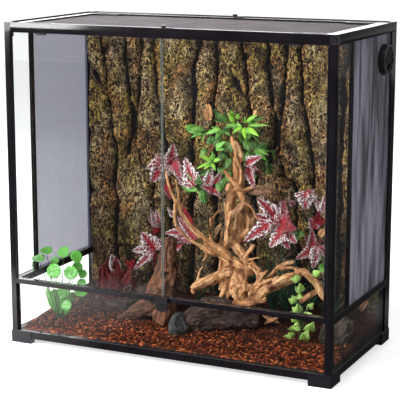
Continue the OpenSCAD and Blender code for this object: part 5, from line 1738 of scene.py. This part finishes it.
    def variegated(self) -> Plant:
        """Sprays of red leaves with white margins along the back wall."""
        plant = Plant("red_plant", Leaf(LeafKind.ANGULAR, 60 * MM, 34 * MM, 0.25, 0.25, 20, 2, wavy=0.02),
                      Finish.RED_LEAF, Finish.BROWN_STEM, "leaf_red", "variegated_plant", 23)
        rows = (
            (-160, 140, 450, -140, 120, 505, 32, 0.6), (-180, 140, 450, -200, 105, 400, 46, 0.5),
            (-180, 140, 450, -230, 120, 435, 21, 0.8), (-70, 110, 400, -110, 120, 475, 34, 0.7),
            (-145, 130, 455, -105, 100, 410, 24, 0.3), (-165, 130, 450, -160, 105, 415, 19, 0.9),
            (-170, 130, 390, -145, 110, 355, 16, 0.2), (-195, 110, 205, -220, 85, 255, 46, 0.7),
            (-205, 110, 210, -255, 85, 205, 24, 0.9), (-195, 105, 205, -250, 80, 150, 22, 0.6),
            (-200, 130, 265, -210, 115, 325, 14, 0.8), (-190, 130, 280, -195, 118, 320, 14, 0.7),
            (-200, 130, 265, -205, 120, 240, 11, 0.1), (-95, 90, 270, -145, 70, 270, 21, 0.5),
            (-90, 85, 265, -135, 60, 230, 16, 0.6), (-95, 80, 245, -140, 55, 195, 16, 0.4),
            (-260, 105, 150, -285, 95, 170, 16, 0.1), (-35, 40, 265, -95, 50, 325, 21, 0.4),
            (-125, 90, 310, -140, 80, 340, 11, 0.9), (-55, 60, 300, -85, 60, 355, 13, 0.1),
            (95, 80, 480, 145, 60, 505, 21, 0.6), (100, 80, 470, 125, 60, 420, 23, 0.4),
            (-35, 110, 400, -10, 90, 460, 21, 0.9), (-10, 110, 410, 15, 95, 445, 18, 0.5),
            (-15, 110, 395, -45, 90, 405, 16, 0.4), (-15, 110, 395, 15, 90, 380, 13, 0.3),
            (205, 60, 330, 150, 40, 400, 41, 0.6), (180, 55, 335, 115, 20, 280, 31, 0.6),
            (205, 60, 325, 250, 45, 325, 33, 0.15), (215, 60, 315, 180, 35, 270, 36, 0.7),
            (220, 60, 305, 255, 40, 290, 25, 0.4), (210, 60, 295, 235, 40, 270, 23, 0.3),
            (250, 125, 410, 255, 105, 365, 41, 0.8), (320, 60, 370, 330, 55, 420, 15, 0.9),
            (305, 60, 340, 315, 50, 375, 15, 0.1), (300, 60, 325, 290, 50, 355, 20, 0.4),
            (295, 55, 270, 300, 45, 325, 23, 0.3), (295, 55, 270, 260, 30, 245, 20, 0.4),
            (310, 55, 280, 310, 30, 225, 25, 0.8), (220, 110, 370, 210, 100, 390, 10, 0.6),
            (185, 110, 365, 200, 100, 385, 13, 0.5),
        )
        rows = tuple((*row[:6], row[6] * 1.35, row[7]) for row in rows)
        plant.blades(rows, Vector((0.35, -0.9, 0.25)), self.to_wall, 0.9 * MM, 2)
        return plant

    def maroon(self) -> Plant:
        """Dark red plant on the ground by the left of the bark."""
        plant = Plant("maroon_plant", Leaf(LeafKind.POINTED, 100 * MM, 22 * MM, 0.4, -0.15, 10, 2),
                      Finish.MAROON_LEAF, Finish.BROWN_STEM, "leaf_maroon", "maroon_plant", 41)
        for row in (
            (-295, 30, 65, -310, 25, 180, 40, 0.05), (-290, 30, 65, -260, 20, 175, 42, 0.1),
            (-265, 30, 70, -215, 25, 175, 40, 0.1), (-270, 25, 150, -295, 25, 200, 40, 0.95),
            (-270, 25, 65, -215, 15, 135, 38, 0.3), (-310, 35, 65, -335, 30, 135, 34, 0.0),
            (-265, 35, 75, -240, 30, 180, 38, 0.05), (-280, 20, 70, -275, 15, 165, 38, 0.1),
            (-250, 30, 75, -210, 20, 150, 34, 0.0), (-320, 40, 65, -330, 35, 165, 30, 0.0),
            (-295, 15, 65, -300, 10, 125, 32, 0.1), (-270, 15, 70, -245, 8, 125, 32, 0.0),
            (-300, 30, 110, -305, 25, 195, 36, 0.05), (-275, 30, 110, -270, 25, 205, 34, 0.0),
        ):
            plant.blade(row, Vector((0.4, -0.85, 0.2)), 0.6)
        draw = plant.draw.uniform
        for k in range(26):
            turn = 2.4 * k
            out = Vector((math.cos(turn), 0.7 * math.sin(turn), 0.0))
            foot = Vector((-0.275, 0.055, self.ground.top(0.055))) + out * (8 + 1.2 * k) * MM
            way = out + Vector((0.0, -0.2, 1.6))
            plant.leaf_towards(foot, way, draw(-1.0, 1.0), draw(0.35, 0.85), draw(0.0, 0.12))
        return plant

    def vine(self) -> Plant:
        """Pale leafy vine before the root's right limb."""
        plant = Plant("pale_vine", Leaf(LeafKind.POINTED, 22 * MM, 17 * MM, 0.3, 0.3, 8, 1), Finish.PALE_LEAF,
                      Finish.GREEN_STEM, "leaf_pale", "trailing_vine", 52)
        base = Vector((0.3, -0.045, self.ground.top(-0.045) - 4 * MM))
        facing = Vector((0.35, -0.9, 0.3))
        # The last column, tone, holds painted light and shade with the leaf's own colour; the smaller
        # companions are darker, as painted shade.
        for row in (
            (290, -45, 150, 285, -50, 170, 17, 0.7), (300, -45, 125, 300, -55, 150, 20, 0.8),
            (305, -45, 180, 305, -50, 205, 17, 0.6), (305, -45, 90, 290, -60, 90, 22, 0.6),
            (325, -45, 80, 345, -60, 105, 25, 0.8), (315, -45, 50, 330, -60, 85, 22, 0.5),
            (335, -40, 230, 355, -45, 240, 17, 0.6), (295, -45, 100, 295, -55, 125, 20, 0.7),
            (315, -45, 115, 335, -55, 130, 20, 0.5), (295, -45, 170, 310, -50, 170, 15, 0.9),
            (300, -45, 210, 290, -50, 225, 15, 0.4), (325, -45, 140, 340, -50, 155, 15, 0.5),
            (280, -40, 115, 270, -45, 120, 15, 0.5), (285, -40, 55, 275, -50, 70, 17, 0.5),
        ):
            plant.blade((*row[:6], row[6] * 1.25, row[7]), facing)
            plant.blade((*row[:3], row[3] - 14, row[4], row[5] - 10, row[6], row[7] * 0.6), facing, 0.8)
        for lean, rise, depth in ((-15, 180, 0), (5, 150, -6), (35, 180, 4), (12, 95, -4)):
            plant.stem(base, base + Vector((lean, depth, rise)) * MM, 1.1 * MM, Vector((8, -6, 0)) * MM)
        return plant

    def dry(self) -> Plant:
        """Dead leaves caught in the plants and the root."""
        plant = Plant("dry_leaves", Leaf(LeafKind.OVAL, 50 * MM, 22 * MM, 0.45, 0.35, 8, 2, wavy=0.03),
                      Finish.DRY_LEAF, Finish.BROWN_STEM, "driftwood", None, 77)
        for row in (
            (95, 75, 410, 175, 65, 415, 28, 0.4), (-30, 115, 580, -30, 105, 625, 26, 0.9),
            (-15, 110, 520, -25, 100, 500, 16, 0.6), (120, 110, 480, 130, 100, 430, 13, 0.3),
            (25, 40, 285, 40, 35, 320, 16, 0.7), (315, 55, 305, 330, 50, 330, 18, 0.85),
            (430, 60, 120, 450, 50, 150, 15, 0.5), (-335, -110, 90, -315, -115, 115, 16, 0.6),
            (-400, -120, 170, -390, -122, 155, 11, 0.7),
        ):
            plant.blade(row, Vector((0.35, -0.85, 0.4)), 0.8)
        return plant

    def grass(self) -> Plant:
        """Dark grass tufts at the foot of the bark, right and left of the root."""
        plant = Plant("grass_tufts", Leaf(LeafKind.BLADE, 120 * MM, 5 * MM, 0.3, 0.7, 8, 1), Finish.GRASS,
                      Finish.GREEN_STEM, "leaf_green", None, 63)
        tufts = ((165, 115, 16, 1.5), (205, 120, 16, 1.45), (240, 125, 8, 1.2), (330, 95, 10, 0.8),
                 (262, 80, 8, 0.7), (-60, 120, 9, 0.8))
        draw = plant.draw.uniform
        for x, y, count, size in tufts:
            base = Vector((x * MM, y * MM, self.ground.top(y * MM) - 3 * MM))
            for _ in range(count):
                way = Vector((draw(-0.55, 0.55), draw(-0.55, 0.15), 1.0))
                at = base + Vector((draw(-9, 9), draw(-9, 9), 0)) * MM
                plant.leaf_towards(at, way, draw(-3.1, 3.1), size * draw(0.7, 1.1))
        return plant

    def build(self) -> None:
        """Builds every plant."""
        for make in (self.round_leaved, self.strands, self.pointed, self.broad, self.variegated, self.maroon,
                     self.vine, self.dry, self.grass):
            make().build()


# ---- studio --------------------------------------------------------------------------------------


@dataclass
class Lamp:
    """A soft rectangular lamp aimed at a point."""

    name: str
    at: Point
    aim: Point
    size: tuple[float, float]
    watts: float
    colour: Colour = (1.0, 1.0, 1.0)

    def build(self) -> None:
        """Builds the lamp."""
        data = bpy.data.lights.new(self.name, "AREA")
        data.shape = "RECTANGLE"
        data.size, data.size_y = self.size
        data.energy = self.watts
        data.color = self.colour
        obj = bpy.data.objects.new(self.name, data)
        obj.location = self.at
        obj.rotation_euler = (Vector(self.aim) - Vector(self.at)).to_track_quat("-Z", "Y").to_euler()
        obj.visible_camera = False
        bpy.context.scene.collection.objects.link(obj)


@dataclass
class Studio:
    """Plain pale room, soft lamps and the camera."""

    camera_at: Point = (1.556, -3.2876, 1.1332)
    azimuth: float = -25.367
    elevation: float = -11.602
    lens: float = 126.1
    floor_half: float = 6.0
    floor_glow: float = 0.62
    world_level: float = 0.42
    front_level: float = 0.04
    bright_level: float = 4.0
    bright_x: Span = (-0.85, -0.2)
    bright_from: Span = (-0.95, -0.65)
    bright_to: Span = (-0.2, 0.0)
    behind_x: Span = (0.48, 0.62)
    behind_y: Span = (0.3, 0.9)

    def camera(self) -> None:
        """Stands the camera before the right-hand front corner."""
        data = bpy.data.cameras.new("camera")
        data.lens = self.lens
        data.sensor_width = 36.0
        data.clip_end = 50.0
        obj = bpy.data.objects.new("camera", data)
        az, el = math.radians(self.azimuth), math.radians(self.elevation)
        way = Vector((math.cos(el) * math.sin(az), math.cos(el) * math.cos(az), math.sin(el)))
        obj.location = self.camera_at
        obj.rotation_euler = way.to_track_quat("-Z", "Y").to_euler()
        bpy.context.scene.collection.objects.link(obj)
        bpy.context.scene.camera = obj

    def floor(self) -> None:
        """Lays a pale floor that looks white and still takes the object's shadow."""
        half = self.floor_half
        mesh = Piece.from_data("floor",
                               [(-half, -half, 0), (half, -half, 0), (half, half, 0), (-half, half, 0)],
                               [(0, 1, 2, 3)])
        obj = Piece.from_mesh("studio_floor", mesh)
        s = Shader("studio_floor")
        path = s.add("LightPath")
        seen = s.math("MAXIMUM", path.outputs["Is Camera Ray"], path.outputs["Is Transmission Ray"])
        plain = s.add("BsdfDiffuse", Color=(0.8, 0.8, 0.8))
        white = s.add("Emission", Color=(1.0, 1.0, 1.0), Strength=s.math("MULTIPLY", seen, self.floor_glow))
        both = s.add("AddShader")
        s.links.new(plain.outputs[0], both.inputs[0])
        s.links.new(white.outputs[0], both.inputs[1])
        at = s.add("SeparateXYZ", Vector=s.add("TexCoord").outputs["Object"])
        x, y, fall = at.outputs["X"], at.outputs["Y"], (1.0, 0.0)
        left = s.span(x, *self.bright_x, fall)
        near = s.math("MULTIPLY", s.span(y, *self.bright_from), s.span(y, *self.bright_to, fall))
        behind = s.math("MULTIPLY", s.span(y, *self.behind_y), s.span(x, *self.behind_x, fall))
        low = s.math("MULTIPLY", s.math("MULTIPLY", left, near), self.bright_level)
        level = s.math("MAXIMUM", s.math("MAXIMUM", low, behind), self.front_level)
        mirrored = s.add("Emission", Color=(1.0, 1.0, 1.0), Strength=level)
        shown = s.add("MixShader", Fac=path.outputs["Is Glossy Ray"])
        s.links.new(both.outputs[0], shown.inputs[1])
        s.links.new(mirrored.outputs[0], shown.inputs[2])
        s.links.new(shown.outputs[0], s.add("OutputMaterial").inputs["Surface"])
        obj.data.materials.append(s.material)

    def world(self) -> None:
        """White to the eye, plainer as light; glass and metal show it white behind and dark in front."""
        world = bpy.data.worlds.new("room")
        world.use_nodes = True
        s = Shader.on(world.node_tree)
        path = s.add("LightPath")
        way = s.add("SeparateXYZ", Vector=s.add("TexCoord").outputs["Generated"])
        behind = s.span(way.outputs["Y"], -0.35, 0.1, (self.front_level, 1.0))
        below = s.span(way.outputs["Z"], -0.5, -0.1, (0.25, 1.0))
        right = s.span(way.outputs["X"], 0.15, 0.35, (1.0, self.front_level))
        above = s.span(way.outputs["Z"], 0.3, 0.6)
        shown = s.math("MULTIPLY", s.math("MULTIPLY", s.math("MAXIMUM", behind, above), below), right)
        level = s.mix_value(path.outputs["Is Glossy Ray"], self.world_level, shown)
        seen = s.math("MAXIMUM", path.outputs["Is Camera Ray"], path.outputs["Is Transmission Ray"])
        strength = s.mix_value(seen, level, 1.1)
        sky = s.add("Background", Color=(1.0, 1.0, 1.0), Strength=strength)
        s.links.new(sky.outputs[0], s.add("OutputWorld").inputs["Surface"])
        bpy.context.scene.world = world

    def build(self) -> None:
        """Builds the room, lamps and camera."""
        self.world()
        self.floor()
        Lamp("key_lamp", (-2.45, -2.6, 1.55), (-0.2, 0.0, 0.5), (1.5, 2.0), 190.0).build()
        Lamp("top_lamp", (-0.4, -1.0, 2.6), (0.0, 0.1, 0.4), (1.8, 1.0), 60.0).build()
        Lamp("back_lamp", (-1.4, 3.1, 1.5), (0.0, 0.0, 0.8), (4.0, 1.2), 30.0).build()
        self.camera()
        view = bpy.context.scene.view_settings
        view.view_transform = "Standard"


def main() -> None:
    """Builds the terrarium's pieces in order, then the studio."""
    logging.basicConfig(level=logging.INFO, format="%(message)s")
    ground = Ground()
    builders: Iterable[tuple[str, Callable[[], None]]] = (
        ("frame and fittings", Carcass().build),
        ("door edges", DoorEdges().build),
        ("mesh", Screens().build),
        ("bark panel", BarkPanel().build),
        ("bark chips", ground.build),
        ("wood", Wood().build),
        ("plants", Planting(ground).build),
        ("studio", Studio().build),
    )
    for title, build in builders:
        log.info("building %s", title)
        build()


if __name__ == "__main__":
    main()
